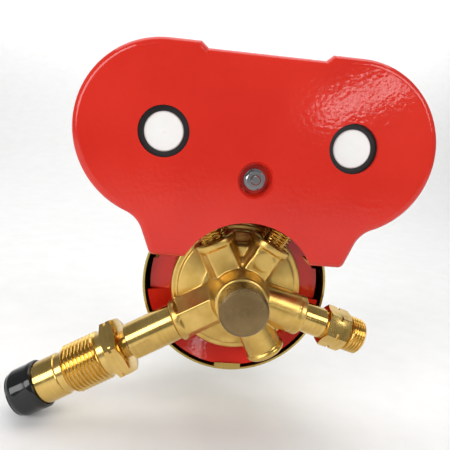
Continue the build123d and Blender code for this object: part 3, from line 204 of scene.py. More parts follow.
# %% Floor and lights
FLOOR_GAP = 0.0004
FLOOR_HALF = 3.0
BEND_STEP = 0.25
whole_low, whole_high = Vector(cad_box[0]), Vector(cad_box[1])
bm = bmesh.new()
floor_z = whole_low.z - FLOOR_GAP
first = [bm.verts.new((x, -FLOOR_HALF, floor_z)) for x in (-FLOOR_HALF, FLOOR_HALF)]
edge = bm.edges.new(first)
bend = [(0, BEND_STEP * cos(radians(a)), BEND_STEP * sin(radians(a))) for a in range(5, 90, 10)]
for step in [(0, 3.5, 0), *bend, (0, 0, 2.5)]:
    grown = bmesh.ops.extrude_edge_only(bm, edges=[edge])
    new_verts = [g for g in grown["geom"] if isinstance(g, bmesh.types.BMVert)]
    new_edges = [g for g in grown["geom"] if isinstance(g, bmesh.types.BMEdge)]
    bmesh.ops.translate(bm, verts=new_verts, vec=Vector(step))
    edge = next(e for e in new_edges if set(e.verts) == set(new_verts))
bmesh.ops.recalc_face_normals(bm, faces=bm.faces)
sheet = to_object(bm, "white_sheet", 80)


def area_light(name, place, target, size, power, along=Vector((1, 0, 0)), spread=180):
    """A rectangular lamp that faces a target, with its long side as near to along as it can be."""
    data = bpy.data.lights.new(name, "AREA")
    data.shape = "RECTANGLE"
    data.size, data.size_y = size
    data.energy = power
    data.spread = radians(spread)
    obj = bpy.data.objects.new(name, data)
    bpy.context.scene.collection.objects.link(obj)
    away = (Vector(place) - Vector(target)).normalized()
    long_side = (along - away * along.dot(away)).normalized()
    columns = Matrix((long_side, away.cross(long_side), away)).transposed()
    obj.matrix_world = Matrix.Translation(place) @ columns.to_4x4()
    return obj


object_middle = (whole_low + whole_high) / 2
area_light("overhead_softbox", (0.05, 0.30, 1.00), (0.05, 0.22, 0.0), (1.4, 0.9), 3.9, spread=120)
area_light("backdrop_wash", (0.05, 1.2, 1.5), (0.05, 3.0, 0.5), (2.6, 0.6), 26.0)
area_light("inlet_panel", (-0.66, -0.72, 0.50), object_middle, (0.95, 0.46), 6.8, along=inlet_out)
area_light("outlet_panel", (0.72, -0.70, 0.62), object_middle, (0.60, 0.40), 3.2, along=outlet_out)
STRIP_TILT = Vector((0.243, 0, 0.131))
area_light(
    "window_strip", (0.425, -0.90, 0.235), (0.425, 0.5, 0.235), (0.21, 0.045), 0.17,
    along=STRIP_TILT,
)
world = bpy.data.worlds.new("studio")
world.use_nodes = True
sky = world.node_tree.nodes["Background"]
sky.inputs["Color"].default_value = (0.97, 0.98, 1.0, 1)
sky.inputs["Strength"].default_value = 0.26
bpy.context.scene.world = world
bpy.context.scene.view_settings.view_transform = "Standard"

# %% [markdown]
# ## Threads
#
# A screw thread is a V groove wound round a cylinder. A flat grid of points is bent into a
# sleeve, and each point is drawn in towards the axis by how far it is from the crest at its
# height and angle. The sleeve is narrowed at both ends, where the real thread runs out and where
# the tool has turned a chamfer. The plain wall of the CAD piece is taken away and the sleeve is
# bridged in, so the piece stays one closed skin.


# %% A threaded sleeve
THREAD_DEPTH = 0.62
CREST_SHARE = 0.14
FLANK_SHARE = 0.72


def add_sleeve(
    bm, start, end, major, pitch, hand, start_r, end_r, runout, chamfer,
    around=96, rows_per_turn=10,
):
    """Adds a helical sleeve about Z from start to end, in millimetres.

    hand is 1 for right and -1 for left."""
    depth = THREAD_DEPTH * pitch
    rows = max(12, round((end - start) / pitch * rows_per_turn))
    before = set(bm.verts)
    made = bmesh.ops.create_grid(bm, x_segments=rows, y_segments=around, size=0.5)
    for v in made["verts"]:
        height = start + (v.co.x + 0.5) * (end - start)
        turn = (v.co.y + 0.5) * 2 * pi
        phase = (height / pitch - hand * turn / (2 * pi)) % 1.0
        flank = abs(2 * phase - 1)
        groove = min(max((flank - CREST_SHARE) / FLANK_SHARE, 0.0), 1.0)
        fade_in = min(max((height - start - 0.3 * runout) / (0.9 * pitch), 0.0), 1.0)
        radius = major - depth * groove * fade_in
        limit_in = start_r + (major - start_r) * min((height - start) / runout, 1.0)
        limit_out = end_r + (major - end_r) * min((end - height) / chamfer, 1.0)
        radius = min(radius, limit_in, limit_out)
        v.co = Vector((radius * cos(turn), radius * sin(turn), height)) * MM
    fresh = [v for v in bm.verts if v not in before]
    bmesh.ops.remove_doubles(bm, verts=fresh, dist=1e-7)
    faces = [f for f in bm.faces if all(v not in before for v in f.verts)]
    sample = faces[len(faces) // 2]
    sample.normal_update()
    middle = sample.calc_center_median()
    if sample.normal.dot(Vector((middle.x, middle.y, 0))) < 0:
        bmesh.ops.reverse_faces(bm, faces=faces)


RING_SLACK = 0.12


def open_loops_near(bm, height, radius, slack=0.03):
    """Open edges that lie on a circle about Z at one height."""
    found = []
    for e in bm.edges:
        if len(e.link_faces) != 1:
            continue
        level = all(abs(v.co.z / MM - height) < slack for v in e.verts)
        if level and all(abs(v.co.xy.length / MM - radius) < RING_SLACK for v in e.verts):
            found.append(e)
    return found


def threaded(
    node, place, start, end, major, pitch, hand, start_r, end_r, runout, chamfer, **more
):
    """A copy of a node with its plain outer wall from start to end changed for a real thread."""
    bm = merged_copy(node)
    bm.transform(place.inverted())
    wall = []
    for f in bm.faces:
        c = f.calc_center_median() / MM
        if start + 0.01 < c.z < end - 0.01 and c.xy.length > major * 0.8:
            wall.append(f)
    bmesh.ops.delete(bm, geom=wall, context="FACES")
    loose = [v for v in bm.verts if not v.link_faces]
    bmesh.ops.delete(bm, geom=loose, context="VERTS")
    add_sleeve(bm, start, end, major, pitch, hand, start_r, end_r, runout, chamfer, **more)
    for height, radius in ((start, start_r), (end, end_r)):
        ring = open_loops_near(bm, height, radius)
        try:
            bmesh.ops.bridge_loops(bm, edges=ring)
        except RuntimeError as error:
            print(node, "ring at", height, "stays open:", error)
    bm.transform(place)
    turns = round((end - start) / pitch, 1)
    print(node, "thread:", turns, "turns,", len(wall), "plain faces taken out")
    return bm


# %% [markdown]
# ## The inlet nut
#
# This nut draws the nose into the cylinder's valve. Its thread is left-handed, with 14 threads to
# the inch, and its hexagon has a groove at each corner as the sign of a left-hand thread. The
# hexagon is right in the CAD piece, so only the thread is new.

# %% Inlet nut with its thread
nut_start, nut_end, _ = reach("inlet_nut", inlet_place)
inlet_r = mounts["inlet_thread"]["dims"]["r_mm"]
INLET_PITCH = 25.4 / 14
INLET_THREAD_LONG = 17.5
bm = threaded(
    "inlet_nut", inlet_place, nut_end / MM - INLET_THREAD_LONG, nut_end / MM, inlet_r,
    INLET_PITCH, -1, inlet_r - 0.855, inlet_r - 1.2, 0.6, 1.2, around=112, rows_per_turn=11,
)
inlet_nut = to_object(bm, "inlet_nut_threaded", 32)
finish_piece(inlet_nut, "inlet_nut", "turned_brass", "inlet_nut")

# %% [markdown]
# ## The outlet fitting
#
# The hose screws on here. It is a smaller left-hand thread with 19 threads to the inch, behind a
# hexagon.

# %% Outlet fitting with its thread
_, outlet_end, _ = reach("outlet_fitting", outlet_place)
outlet_r = mounts["outlet_thread"]["dims"]["r_mm"]
OUTLET_PITCH = 25.4 / 19
OUTLET_THREAD_LONG = 8.4
OUTLET_NECK = 1.2
outlet_start = outlet_end / MM - OUTLET_THREAD_LONG + OUTLET_NECK - 0.6
bm = threaded(
    "outlet_fitting", outlet_place, outlet_start, outlet_end / MM, outlet_r, OUTLET_PITCH, -1,
    outlet_r - 1.0, outlet_r - 1.2, 0.6, 1.2, around=96, rows_per_turn=11,
)
outlet_fitting = to_object(bm, "outlet_fitting_threaded", 32)
finish_piece(outlet_fitting, "root", "turned_brass", "outlet_fitting")

# %% [markdown]
# ## Gauge sockets
#
# Each gauge screws into the body by a right-hand taper thread. Part of that thread shows between
# the boss and the square, in the shade under the guard's arch.

# %% Gauge sockets with their threads
SOCKET_PITCH = 25.4 / 18
sockets = {}
for side in ("left", "right"):
    socket_low, _, _ = reach(f"{side}_socket", gauge_place[side])
    bottom = socket_low / MM
    bm = merged_copy(f"{side}_socket")
    bm.transform(gauge_place[side].inverted())
    thread_r = max(v.co.xy.length / MM for v in bm.verts if v.co.z / MM < bottom + 1.5)
    top = min(v.co.z / MM for v in bm.verts if v.co.xy.length / MM > thread_r + 0.6)
    bm.free()
    bm = threaded(
        f"{side}_socket", gauge_place[side], bottom, top - 0.6, thread_r, SOCKET_PITCH, 1,
        thread_r - 0.8, thread_r - 0.6, 0.8, 0.6, around=72, rows_per_turn=9,
    )
    socket = to_object(bm, f"{side}_socket_threaded", 32)
    sockets[side] = finish_piece(socket, "root", "turned_brass", f"{side}_socket")

# %% [markdown]
# ## The adjusting screw
#
# Turning the knob drives this M12 screw into the bonnet. A short length of it shows under the
# knob.

# %% Adjusting screw with its thread
screw_low, screw_high, screw_r = (v / MM for v in reach("adjusting_screw", axial_place))
SCREW_PITCH = 1.75
bm = threaded(
    "adjusting_screw", axial_place, screw_low, screw_high, screw_r, SCREW_PITCH, 1,
    screw_r - 2.0, screw_r - 0.8, 2.0, 0.8, around=64, rows_per_turn=8,
)
screw = to_object(bm, "adjusting_screw_threaded", 32)
finish_piece(screw, "adjuster", "zinc_steel", "adjusting_screw")

# %% [markdown]
# ## The forged body
#
# The body is hot-forged brass: where the bosses meet the hub the metal flows in soft hollows,
# which plain solids don't have. A voxel skin over a copy of the CAD piece, relaxed twice, melts
# the joins together and keeps the big shapes. The machined mouths and rims come out a little
# softer too, but small voxels keep them readable.

# %% Body with soft forged joins
FORGED_VOXEL = 0.000475
RELAX_PASSES = 2
bm = merged_copy("body")
forged = to_object(bm, "body_forged", 180)
remesh = forged.modifiers.new("skin", "REMESH")
remesh.mode = "VOXEL"
remesh.voxel_size = FORGED_VOXEL
remesh.use_smooth_shade = True
evaluated = forged.evaluated_get(bpy.context.evaluated_depsgraph_get())
skin = bpy.data.meshes.new_from_object(evaluated)
forged.modifiers.clear()
bm = bmesh.new()
bm.from_mesh(skin)
for _ in range(RELAX_PASSES):
    bmesh.ops.smooth_vert(
        bm, verts=bm.verts, factor=0.5, use_axis_x=True, use_axis_y=True, use_axis_z=True,
        mirror_clip_x=False, mirror_clip_y=False, mirror_clip_z=False, clip_dist=0.0,
    )
for face in bm.faces:
    face.smooth = True
bm.to_mesh(forged.data)
print("forged skin:", len(bm.faces), "faces")
bm.free()
finish_piece(forged, "root", "forged_brass", "body")

# %% [markdown]
# ## The dust cap
#
# A soft vinyl cap is pushed over the nose. It is a plain moulded cup with a domed end and a small
# lip, so an outline spun round the axis gives it, with a round end in place of the CAD piece's
# few flats.

# %% Dust cap
cap_low, cap_high, cap_r = (v / MM for v in reach("inlet_cap", inlet_place))
CAP_WALL = 1.15
CAP_TOP = 1.7
LIP_RISE = 0.12
DOME = 6.0
CORNER = 4.2
nose_r = cap_r - CAP_WALL
skirt_r = cap_r - LIP_RISE
outline = [(nose_r, cap_low + 0.3), (nose_r + 0.25, cap_low)]
outline += [(cap_r - 0.3, cap_low), (cap_r, cap_low + 0.35)]
outline += [(cap_r, cap_low + 3.0), (skirt_r, cap_low + 3.5), (skirt_r, cap_high - DOME - 0.4)]
for a in range(0, 91, 9):
    c, s = cos(radians(a)), sin(radians(a))
    outline.append((skirt_r - CORNER + CORNER * c, cap_high - 0.75 - CORNER + CORNER * s))
outline += [(4.0, cap_high - 0.28), (1.8, cap_high - 0.05), (0.0, cap_high)]
inner_top = cap_high - CAP_TOP
outline = [(0.0, inner_top), (nose_r, inner_top)] + outline
bm = lathe(outline, 144)
bm.transform(inlet_place)
cap = to_object(bm, "inlet_cap_moulded", 50)
finish_piece(cap, "inlet_cap", "black_vinyl", "inlet_cap")

# %% [markdown]
# ## The springs
#
# Both springs get shorter as the adjusting screw goes in, each towards the end that stays put: the adjusting
# spring's end on the diaphragm plate, and the valve spring's end in the plug. Each spring here is a smooth copy of
# its CAD piece with its own mesh. How far it would shorten comes from the joints and is printed, and the copy
# itself keeps its length.

# %% Springs, and how far they would shorten
sliding = [j for j in frame["joints"] if "range_m" in j]
travel = {j["name"]: max(abs(v) for v in j["range_m"]) for j in sliding}
coils = []
for node, body, shorter in (
    ("adjusting_spring", "diaphragm_centre", travel["screw_travel"] - travel["diaphragm_travel"]),
    ("valve_spring", "root", travel["poppet_lift"]),
):
    low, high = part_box(node)
    coil = to_object(merged_copy(node), f"{node}_coil", 40)
    finish_piece(coil, body, "spring_steel", node)
    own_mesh(coil)
    coils.append(coil)
    print(node, "shortens by", round(shorter / MM, 2), "of", round((high.y - low.y) / MM, 2))

# %% [markdown]
# ## The dials
#
# A dial is a printed disc. The figures and marks are real thin pieces that lie on it, as on a
# stamped and inked scale. Marks are boxes turned about the pointer's axis, and figures are text
# made into a mesh, then laid flat on the disc. Only plain figures and the unit are printed.

# %% Marks and figures on the dials
INK_RISE = 0.00004
POINTER_ZERO = 135.0
POINTER_SWEEP = 270
MARK_OUTER = 25.2
ARC_PARTS = 90
LIMIT_PARTS = 30
FIGURE_R = 17.6
UNIT_DROP = 12.5
dial_marks = {
    "left": {"end": 40, "step": 10, "small": 2, "red": 30},
    "right": {"end": 2.5, "step": 0.5, "small": 0.1, "red": 1.5},
}


def dial_matrix(side):
    """Local X to the reader's right, local Y up the gauge and local Z out of the dial's face."""
    face_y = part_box(f"{side}_dial_screws")[1].y - 0.0007
    origin = Vector((gauge_centre[side].x, face_y, gauge_centre[side].z))
    reader_right = gauge_up[side].cross(Vector((0, 1, 0)))
    columns = Matrix((reader_right, gauge_up[side], Vector((0, 1, 0)))).transposed()
    return Matrix.Translation(origin) @ columns.to_4x4()


def add_mark(bm, share, inner, outer, wide):
    """One mark of the scale, between two radii, at a share of the pointer's sweep."""
    made = bmesh.ops.create_cube(bm, size=1.0)
    turn = Matrix.Rotation(radians(POINTER_ZERO - POINTER_SWEEP * share), 4, "Z")
    moved = Matrix.Translation((0, (inner + outer) / 2 * MM, INK_RISE / 2))
    shape = Matrix.Diagonal((wide * MM, (outer - inner) * MM, INK_RISE, 1))
    bmesh.ops.transform(bm, matrix=turn @ moved @ shape, verts=made["verts"])


def text_mesh(words, size, place):
    """Text made into a thin mesh and put in its place."""
    curve = bpy.data.curves.new("figures", "FONT")
    curve.body = words
    curve.size = size * MM
    curve.align_x, curve.align_y = "CENTER", "CENTER"
    curve.extrude = INK_RISE / 2
    curve.offset = 0.06 * MM
    holder = bpy.data.objects.new("figures", curve)
    mesh = bpy.data.meshes.new_from_object(holder)
    mesh.transform(place @ Matrix.Translation((0, 0, INK_RISE / 2)))
    bpy.data.objects.remove(holder)
    return mesh


prints, limits = [], []
for side, scale in dial_marks.items():
    place = dial_matrix(side)
    bm = bmesh.new()
    small_count = round(scale["end"] / scale["small"])
    for k in range(small_count + 1):
        value = k * scale["small"]
        big = abs(value / scale["step"] - round(value / scale["step"])) < 1e-6
        add_mark(bm, k / small_count, 21.6 if big else 23.0, MARK_OUTER, 0.55 if big else 0.28)
    for k in range(ARC_PARTS + 1):
        add_mark(bm, k / ARC_PARTS, 25.15, 25.45, 1.30)
    bm.transform(place)
    for k in range(round(scale["end"] / scale["step"]) + 1):
        value = k * scale["step"]
        angle = radians(90 + POINTER_ZERO - POINTER_SWEEP * value / scale["end"])
        spot = Matrix.Translation((FIGURE_R * MM * cos(angle), FIGURE_R * MM * sin(angle), 0))
        words = str(int(value)) if float(value).is_integer() else f"{value:.1f}"
        bm.from_mesh(text_mesh(words, 4.4, place @ spot))
    bm.from_mesh(text_mesh("bar", 3.6, place @ Matrix.Translation((0, -UNIT_DROP * MM, 0))))
    bmesh.ops.remove_doubles(bm, verts=bm.verts, dist=1e-7)
    printed = to_object(bm, f"{side}_dial_print", 30)
    prints.append(finish_piece(printed, "root", "pointer_black"))
    bm = bmesh.new()
    for k in range(LIMIT_PARTS + 1):
        share = (scale["red"] + (scale["end"] - scale["red"]) * k / LIMIT_PARTS) / scale["end"]
        add_mark(bm, share, 23.0, 25.1, 1.35)
    bm.transform(place)
    limit = to_object(bm, f"{side}_dial_limit", 30)
    limits.append(finish_piece(limit, "root", "red_enamel"))

# %% [markdown]
# ## Finishes
#
# The finishes share a few effects, so those are node groups: the ripple of sprayed enamel, the
# skin of a forging, the fine rings left by a lathe, the grain of a mould, and handling marks.
# Each gives a mask or a height, and every material sets its own strength.


# %% Node helpers
def new_group(name, inputs, outputs):
    """A node group with named number or vector inputs and outputs."""
    tree = bpy.data.node_groups.new(name, "ShaderNodeTree")
    face = tree.interface
    for label, kind, value in inputs:
        socket = face.new_socket(name=label, in_out="INPUT", socket_type=f"NodeSocket{kind}")
        socket.default_value = value
    for label, kind in outputs:
        face.new_socket(name=label, in_out="OUTPUT", socket_type=f"NodeSocket{kind}")
    return tree, tree.nodes.new("NodeGroupInput"), tree.nodes.new("NodeGroupOutput")


def add(tree, kind, links=(), **values):
    """Adds a node. links gives its inputs an output or a value, and values sets its properties."""
    node = tree.nodes.new(kind)
    for key, value in values.items():
        setattr(node, key, value)
    for key, source in dict(links).items():
        if hasattr(source, "is_output"):
            tree.links.new(source, node.inputs[key])
        else:
            node.inputs[key].default_value = source
    return node


def maths(tree, operation, a, b=0.0, clamp=False):
    """One step of arithmetic on two values or outputs."""
    node = add(tree, "ShaderNodeMath", {0: a, 1: b}, operation=operation, use_clamp=clamp)
    return node.outputs[0]


def noise(tree, vector, scale, detail, rough):
    """A cloudy mask from 0 to 1."""
    links = {"Vector": vector, "Scale": scale, "Detail": detail, "Roughness": rough}
    return add(tree, "ShaderNodeTexNoise", links).outputs["Fac"]


# %% Group: ripple of sprayed enamel
ripple, given, result = new_group(
    "enamel_ripple", [("Size", "Float", 420.0)], [("Height", "Float"), ("Tone", "Float")]
)
where = add(ripple, "ShaderNodeTexCoord").outputs["Object"]
fine = noise(ripple, where, given.outputs["Size"], 1.5, 0.45)
cells = add(ripple, "ShaderNodeTexVoronoi", {
    "Vector": where, "Scale": maths(ripple, "MULTIPLY", given.outputs["Size"], 1.25),
    "Smoothness": 1.0,
}, feature="SMOOTH_F1").outputs["Distance"]
broad = noise(ripple, where, 28.0, 2.0, 0.5)
fine_part = maths(ripple, "MULTIPLY", fine, 0.7)
ripple.links.new(
    maths(ripple, "ADD", fine_part, maths(ripple, "MULTIPLY", cells, 0.35)),
    result.inputs["Height"],
)
ripple.links.new(broad, result.inputs["Tone"])

# %% Group: skin of a forging
skin_group, given, result = new_group(
    "forged_skin", [("Size", "Float", 900.0)], [("Height", "Float"), ("Tone", "Float")]
)
where = add(skin_group, "ShaderNodeTexCoord").outputs["Object"]
grain = noise(skin_group, where, given.outputs["Size"], 4.0, 0.6)
pits = add(skin_group, "ShaderNodeTexVoronoi", {
    "Vector": where, "Scale": maths(skin_group, "MULTIPLY", given.outputs["Size"], 1.8),
}, feature="F1").outputs["Distance"]
waves = noise(skin_group, where, 160.0, 2.0, 0.5)
grain_part = maths(skin_group, "MULTIPLY", grain, 0.6)
height = maths(skin_group, "ADD", grain_part, maths(skin_group, "MULTIPLY", pits, 0.2))
skin_group.links.new(
    maths(skin_group, "ADD", height, maths(skin_group, "MULTIPLY", waves, 0.8)),
    result.inputs["Height"],
)
skin_group.links.new(waves, result.inputs["Tone"])

# %% Group: rings left by a lathe tool
rings, given, result = new_group(
    "lathe_rings",
    [
        ("Centre", "Vector", (0, 0, 0)), ("Axis", "Vector", (0, 0, 1)),
        ("Per metre", "Float", 5200.0),
    ],
    [("Height", "Float"), ("Tone", "Float")],
)


def between(operation, *given_to):
    """One step of vector arithmetic in the group of rings."""
    return add(rings, "ShaderNodeVectorMath", dict(enumerate(given_to)), operation=operation)


def ring_noise(per_metre, detail, rough):
    """Noise along the tool's path, so that it makes rings."""
    return add(rings, "ShaderNodeTexNoise", {
        "W": maths(rings, "MULTIPLY", path_length, per_metre), "Scale": 1.0, "Detail": detail,
        "Roughness": rough,
    }, noise_dimensions="1D").outputs["Fac"]


where = add(rings, "ShaderNodeTexCoord").outputs["Object"]
off = between("SUBTRACT", where, given.outputs["Centre"]).outputs[0]
along = between("DOT_PRODUCT", off, given.outputs["Axis"]).outputs["Value"]
whole = between("LENGTH", off).outputs["Value"]
along_squared = maths(rings, "MULTIPLY", along, along)
squared = maths(rings, "SUBTRACT", maths(rings, "MULTIPLY", whole, whole), along_squared)
radial = maths(rings, "SQRT", maths(rings, "MAXIMUM", squared, 0.0))
path_length = maths(rings, "ADD", radial, maths(rings, "MULTIPLY", along, 1.37))
rings.links.new(ring_noise(given.outputs["Per metre"], 2.0, 0.6), result.inputs["Height"])
rings.links.new(ring_noise(420.0, 1.0, 0.5), result.inputs["Tone"])

# %% Group: handling marks
marks, given, result = new_group(
    "handling_marks", [("Size", "Float", 60.0)], [("Smudge", "Float"), ("Scratch", "Float")]
)
where = add(marks, "ShaderNodeTexCoord").outputs["Object"]
smudge = noise(marks, where, given.outputs["Size"], 4.0, 0.62)
stretched = add(marks, "ShaderNodeMapping", {
    "Vector": where, "Scale": (40.0, 40.0, 900.0), "Rotation": (0.5, 0.9, 0.3),
})
scratch = noise(marks, stretched.outputs[0], 3.0, 2.0, 0.7)
marks.links.new(smudge, result.inputs["Smudge"])
marks.links.new(maths(marks, "GREATER_THAN", scratch, 0.70), result.inputs["Scratch"])

# %% Group: grain of a mould
grain_group, given, result = new_group(
    "moulded_grain", [("Size", "Float", 1500.0)], [("Height", "Float"), ("Tone", "Float")]
)
where = add(grain_group, "ShaderNodeTexCoord").outputs["Object"]
grains = noise(grain_group, where, given.outputs["Size"], 2.0, 0.5)
grain_group.links.new(grains, result.inputs["Height"])
grain_group.links.new(noise(grain_group, where, 45.0, 3.0, 0.6), result.inputs["Tone"])
print("effect groups:", [g.name for g in bpy.data.node_groups])


# %% A material from colours and effects
SCRATCH_ROUGHNESS = 0.05


def material(
    name, dark, light, rough, metal, effect, values, bump, distance, smear=0.35, **shader
):
    """A material whose colour and roughness change slowly over the surface.

    dark and light are the ends of the colour's change, and rough is the lowest and highest
    roughness. effect is the node group that gives the height and the tone, with its values."""
    mat = bpy.data.materials.new(name)
    mat.use_nodes = True
    tree = mat.node_tree
    tree.nodes.clear()
    out = tree.nodes.new("ShaderNodeOutputMaterial")
    surface = tree.nodes.new("ShaderNodeBsdfPrincipled")
    surface.inputs["Metallic"].default_value = metal
    for key, value in shader.items():
        surface.inputs[key.replace("_", " ")].default_value = value
    tree.links.new(surface.outputs[0], out.inputs["Surface"])
    group = tree.nodes.new("ShaderNodeGroup")
    group.node_tree = effect
    for key, value in values.items():
        group.inputs[key].default_value = value
    handled = tree.nodes.new("ShaderNodeGroup")
    handled.node_tree = marks
    own_tone = maths(tree, "MULTIPLY", group.outputs["Tone"], 1.0 - smear)
    tone = maths(tree, "ADD", own_tone, maths(tree, "MULTIPLY", handled.outputs["Smudge"], smear))
    ramp = add(tree, "ShaderNodeMapRange", {
        "Value": tone, "From Min": 0.34, "From Max": 0.66, "To Min": 0.0, "To Max": 1.0,
    })
    mix = add(tree, "ShaderNodeMix", data_type="RGBA")
    tree.links.new(ramp.outputs[0], mix.inputs["Factor"])
    mix.inputs[6].default_value = (*dark, 1)
    mix.inputs[7].default_value = (*light, 1)
    tree.links.new(mix.outputs[2], surface.inputs["Base Color"])
    worn = add(tree, "ShaderNodeMapRange", {
        "Value": handled.outputs["Smudge"], "From Min": 0.3, "From Max": 0.7,
        "To Min": rough[0], "To Max": rough[1],
    })
    scratch = maths(tree, "MULTIPLY", handled.outputs["Scratch"], SCRATCH_ROUGHNESS)
    scratched = maths(tree, "ADD", worn.outputs[0], scratch, True)
    tree.links.new(scratched, surface.inputs["Roughness"])
    relief = add(tree, "ShaderNodeBump", {
        "Height": group.outputs["Height"], "Strength": bump, "Distance": distance,
    })
    tree.links.new(relief.outputs[0], surface.inputs["Normal"])
    return mat


# %% [markdown]
# ## Brass, bronze and steel
#
# The body's skin is bead-blasted, so it is satin and a little uneven. The turned pieces carry
# fine rings about their own axes, so the material is made once for each axis: the inlet, the
# outlet, the two gauges and the body. The rear plug's faced end has its grooves in circles, so
# its highlight is drawn out across them.

# %% Metals
BRASS_DARK, BRASS_LIGHT = (0.62, 0.40, 0.105), (0.80, 0.56, 0.19)
forged_brass = material(
    "forged_brass_skin", (0.60, 0.385, 0.095), (0.78, 0.53, 0.165), (0.26, 0.40), 1.0,
    skin_group, {"Size": 1100.0}, 0.32, 0.00010,
)


def turned(
    name, centre, axis, dark=BRASS_DARK, light=BRASS_LIGHT, rough=(0.13, 0.22), bump=0.10,
    per_metre=5200.0, distance=0.00003,
):
    """A metal with fine rings about its own axis."""
    return material(name, dark, light, rough, 1.0, rings, {
        "Centre": tuple(centre), "Axis": tuple(axis), "Per metre": per_metre,
    }, bump, distance, 0.8)


inlet_brass = turned("turned_brass_inlet", body_centre, inlet_out)
outlet_brass = turned("turned_brass_outlet", body_centre, outlet_out)
axial_brass = turned("turned_brass_axial", body_centre, (0, 1, 0))
socket_brass = {s: turned(f"turned_brass_{s}_socket", body_centre, gauge_up[s]) for s in gauge_up}
# The plug's colours sit far below a bronze's own brightness. Besides the bronze's brown hue they hold painted
# shade, standing for the dark surroundings that its faced end reflects.
plug_bronze_painted_shade = turned(
    "turned_bronze_plug_painted_shade", body_centre, (0, 1, 0), (0.17, 0.112, 0.050), (0.27, 0.185, 0.085),
    (0.24, 0.32), 1.0, 4200.0, 0.00004,
)
shader = plug_bronze_painted_shade.node_tree.nodes["Principled BSDF"]
shader.inputs["Anisotropic"].default_value = 0.85
groove_direction = add(
    plug_bronze_painted_shade.node_tree, "ShaderNodeTangent", direction_type="RADIAL", axis="Y"
)
plug_bronze_painted_shade.node_tree.links.new(groove_direction.outputs[0], shader.inputs["Tangent"])
sintered = material(
    "sintered_cup", (0.22, 0.13, 0.06), (0.36, 0.22, 0.10), (0.6, 0.8), 1.0,
    skin_group, {"Size": 2600.0}, 0.8, 0.0002,
)
steel = material(
    "zinc_plated_steel", (0.34, 0.34, 0.35), (0.50, 0.50, 0.51), (0.08, 0.18), 1.0,
    grain_group, {"Size": 900.0}, 0.10, 0.00005,
)
spring = material(
    "spring_wire", (0.30, 0.31, 0.33), (0.46, 0.47, 0.49), (0.25, 0.42), 1.0,
    grain_group, {"Size": 1200.0}, 0.12, 0.00005,
)
bezel_steel = {}
for s in gauge_up:
    bezel_steel[s] = turned(
        f"{s}_bezel_steel", gauge_centre[s], (0, 1, 0), (0.50, 0.50, 0.51), (0.66, 0.66, 0.67),
        (0.16, 0.26), 0.22, 4200.0,
    )
shroud_sheet = material(
    "plated_sheet", (0.46, 0.33, 0.085), (0.55, 0.40, 0.115), (0.20, 0.30), 1.0,
    grain_group, {"Size": 500.0}, 0.05, 0.00005,
)

# %% [markdown]
# ## Enamel, plastics, rubber, glass and print
#
# The guard and its bracket are sprayed with thick red enamel. Under a lamp its surface shows a
# fine ripple. A low roughness gives the gloss, and the ripple goes into the normal, so that a
# lamp's image breaks up as it should.

# %% Other finishes
red_enamel = material(
    "red_enamel_gloss", (0.610, 0.018, 0.008), (0.680, 0.026, 0.012), (0.07, 0.13), 0.0,
    ripple, {"Size": 560.0}, 0.19, 0.0003, 0.2, Specular_IOR_Level=0.45,
)
vinyl = material(
    "black_vinyl_cap", (0.004, 0.004, 0.0045), (0.009, 0.009, 0.0095), (0.08, 0.16), 0.0,
    grain_group, {"Size": 700.0}, 0.06, 0.0001,
)
case_black = material(
    "black_case_paint", (0.010, 0.010, 0.011), (0.020, 0.020, 0.021), (0.28, 0.42), 0.0,
    ripple, {"Size": 900.0}, 0.12, 0.0002,
)
knob_black = material(
    "knob_plastic_black", (0.014, 0.014, 0.015), (0.026, 0.026, 0.027), (0.34, 0.5), 0.0,
    grain_group, {"Size": 2200.0}, 0.30, 0.0001,
)
cap_red = material(
    "knob_cap_red", (0.50, 0.02, 0.015), (0.58, 0.03, 0.02), (0.25, 0.36), 0.0,
    grain_group, {"Size": 1500.0}, 0.12, 0.0001,
)
rubber = material(
    "seal_rubber", (0.014, 0.014, 0.014), (0.028, 0.028, 0.027), (0.5, 0.7), 0.0,
    grain_group, {"Size": 1900.0}, 0.35, 0.0001,
)
paper_white = material(
    "printed_white", (0.82, 0.82, 0.80), (0.90, 0.90, 0.88), (0.35, 0.5), 0.0,
    grain_group, {"Size": 2600.0}, 0.06, 0.00005,
)
dial_white = material(
    "dial_enamel_white", (0.84, 0.84, 0.82), (0.90, 0.90, 0.88), (0.3, 0.42), 0.0,
    grain_group, {"Size": 1800.0}, 0.05, 0.00005,
)
ink_black = material(
    "ink_black", (0.008, 0.008, 0.009), (0.02, 0.02, 0.02), (0.35, 0.55), 0.0,
    grain_group, {"Size": 2400.0}, 0.10, 0.00005,
)
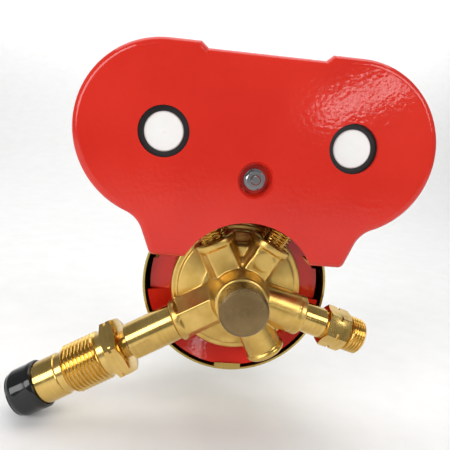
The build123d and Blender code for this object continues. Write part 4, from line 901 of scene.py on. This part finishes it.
ink_red = material(
    "ink_red", (0.55, 0.02, 0.015), (0.65, 0.03, 0.02), (0.35, 0.5), 0.0,
    grain_group, {"Size": 2400.0}, 0.10, 0.00005,
)
lens = material(
    "clear_lens_glass", (0.96, 0.97, 0.97), (1.0, 1.0, 1.0), (0.0, 0.03), 0.0,
    grain_group, {"Size": 300.0}, 0.01, 0.00005, Transmission_Weight=1.0, IOR=1.49,
)
paper = material(
    "sheet_white", (0.86, 0.86, 0.85), (0.90, 0.90, 0.89), (0.6, 0.8), 0.0,
    grain_group, {"Size": 260.0}, 0.03, 0.0003,
)

# %% [markdown]
# ## Dressing every piece
#
# The CAD pieces keep their meshes, and each gets its finish in its own slot. New pieces get
# theirs the same way.

# %% Put the finishes on
by_slot = {
    "forged_brass": forged_brass, "turned_brass": axial_brass, "turned_bronze": plug_bronze_painted_shade,
    "sintered_bronze": sintered, "spring_steel": spring, "zinc_steel": steel,
    "gasket_rubber": rubber, "diaphragm_rubber": rubber, "black_vinyl": vinyl,
    "knob_plastic": knob_black, "knob_cap": cap_red,
    "red_enamel": red_enamel, "shroud_sheet": shroud_sheet, "black_case": case_black,
    "bezel_steel": steel, "clear_lens": lens, "dial_face": dial_white, "pointer_black": ink_black,
    "white_disc": paper_white,
}
own_finish = {
    "inlet_stem": inlet_brass, "inlet_nipple": inlet_brass,
    "left_bezel": bezel_steel["left"], "right_bezel": bezel_steel["right"],
}
slot_of = {p["node"]: p["material_slot"] for p in frame["record"]["subparts"]}


def dress(obj, mat):
    """Gives a piece its one material."""
    obj.data.materials.clear()
    obj.data.materials.append(mat)


for name, obj in nodes.items():
    dress(obj, own_finish.get(name, by_slot[slot_of[name]]))
dress(inlet_nut, inlet_brass)
dress(outlet_fitting, outlet_brass)
dress(forged, forged_brass)
dress(screw, steel)
dress(cap, vinyl)
dress(sheet, paper)
for s, socket in sockets.items():
    dress(socket, socket_brass[s])
for pieces, finish in ((coils, spring), (prints, ink_black), (limits, ink_red)):
    for piece in pieces:
        dress(piece, finish)
print("materials:", len(bpy.data.materials))
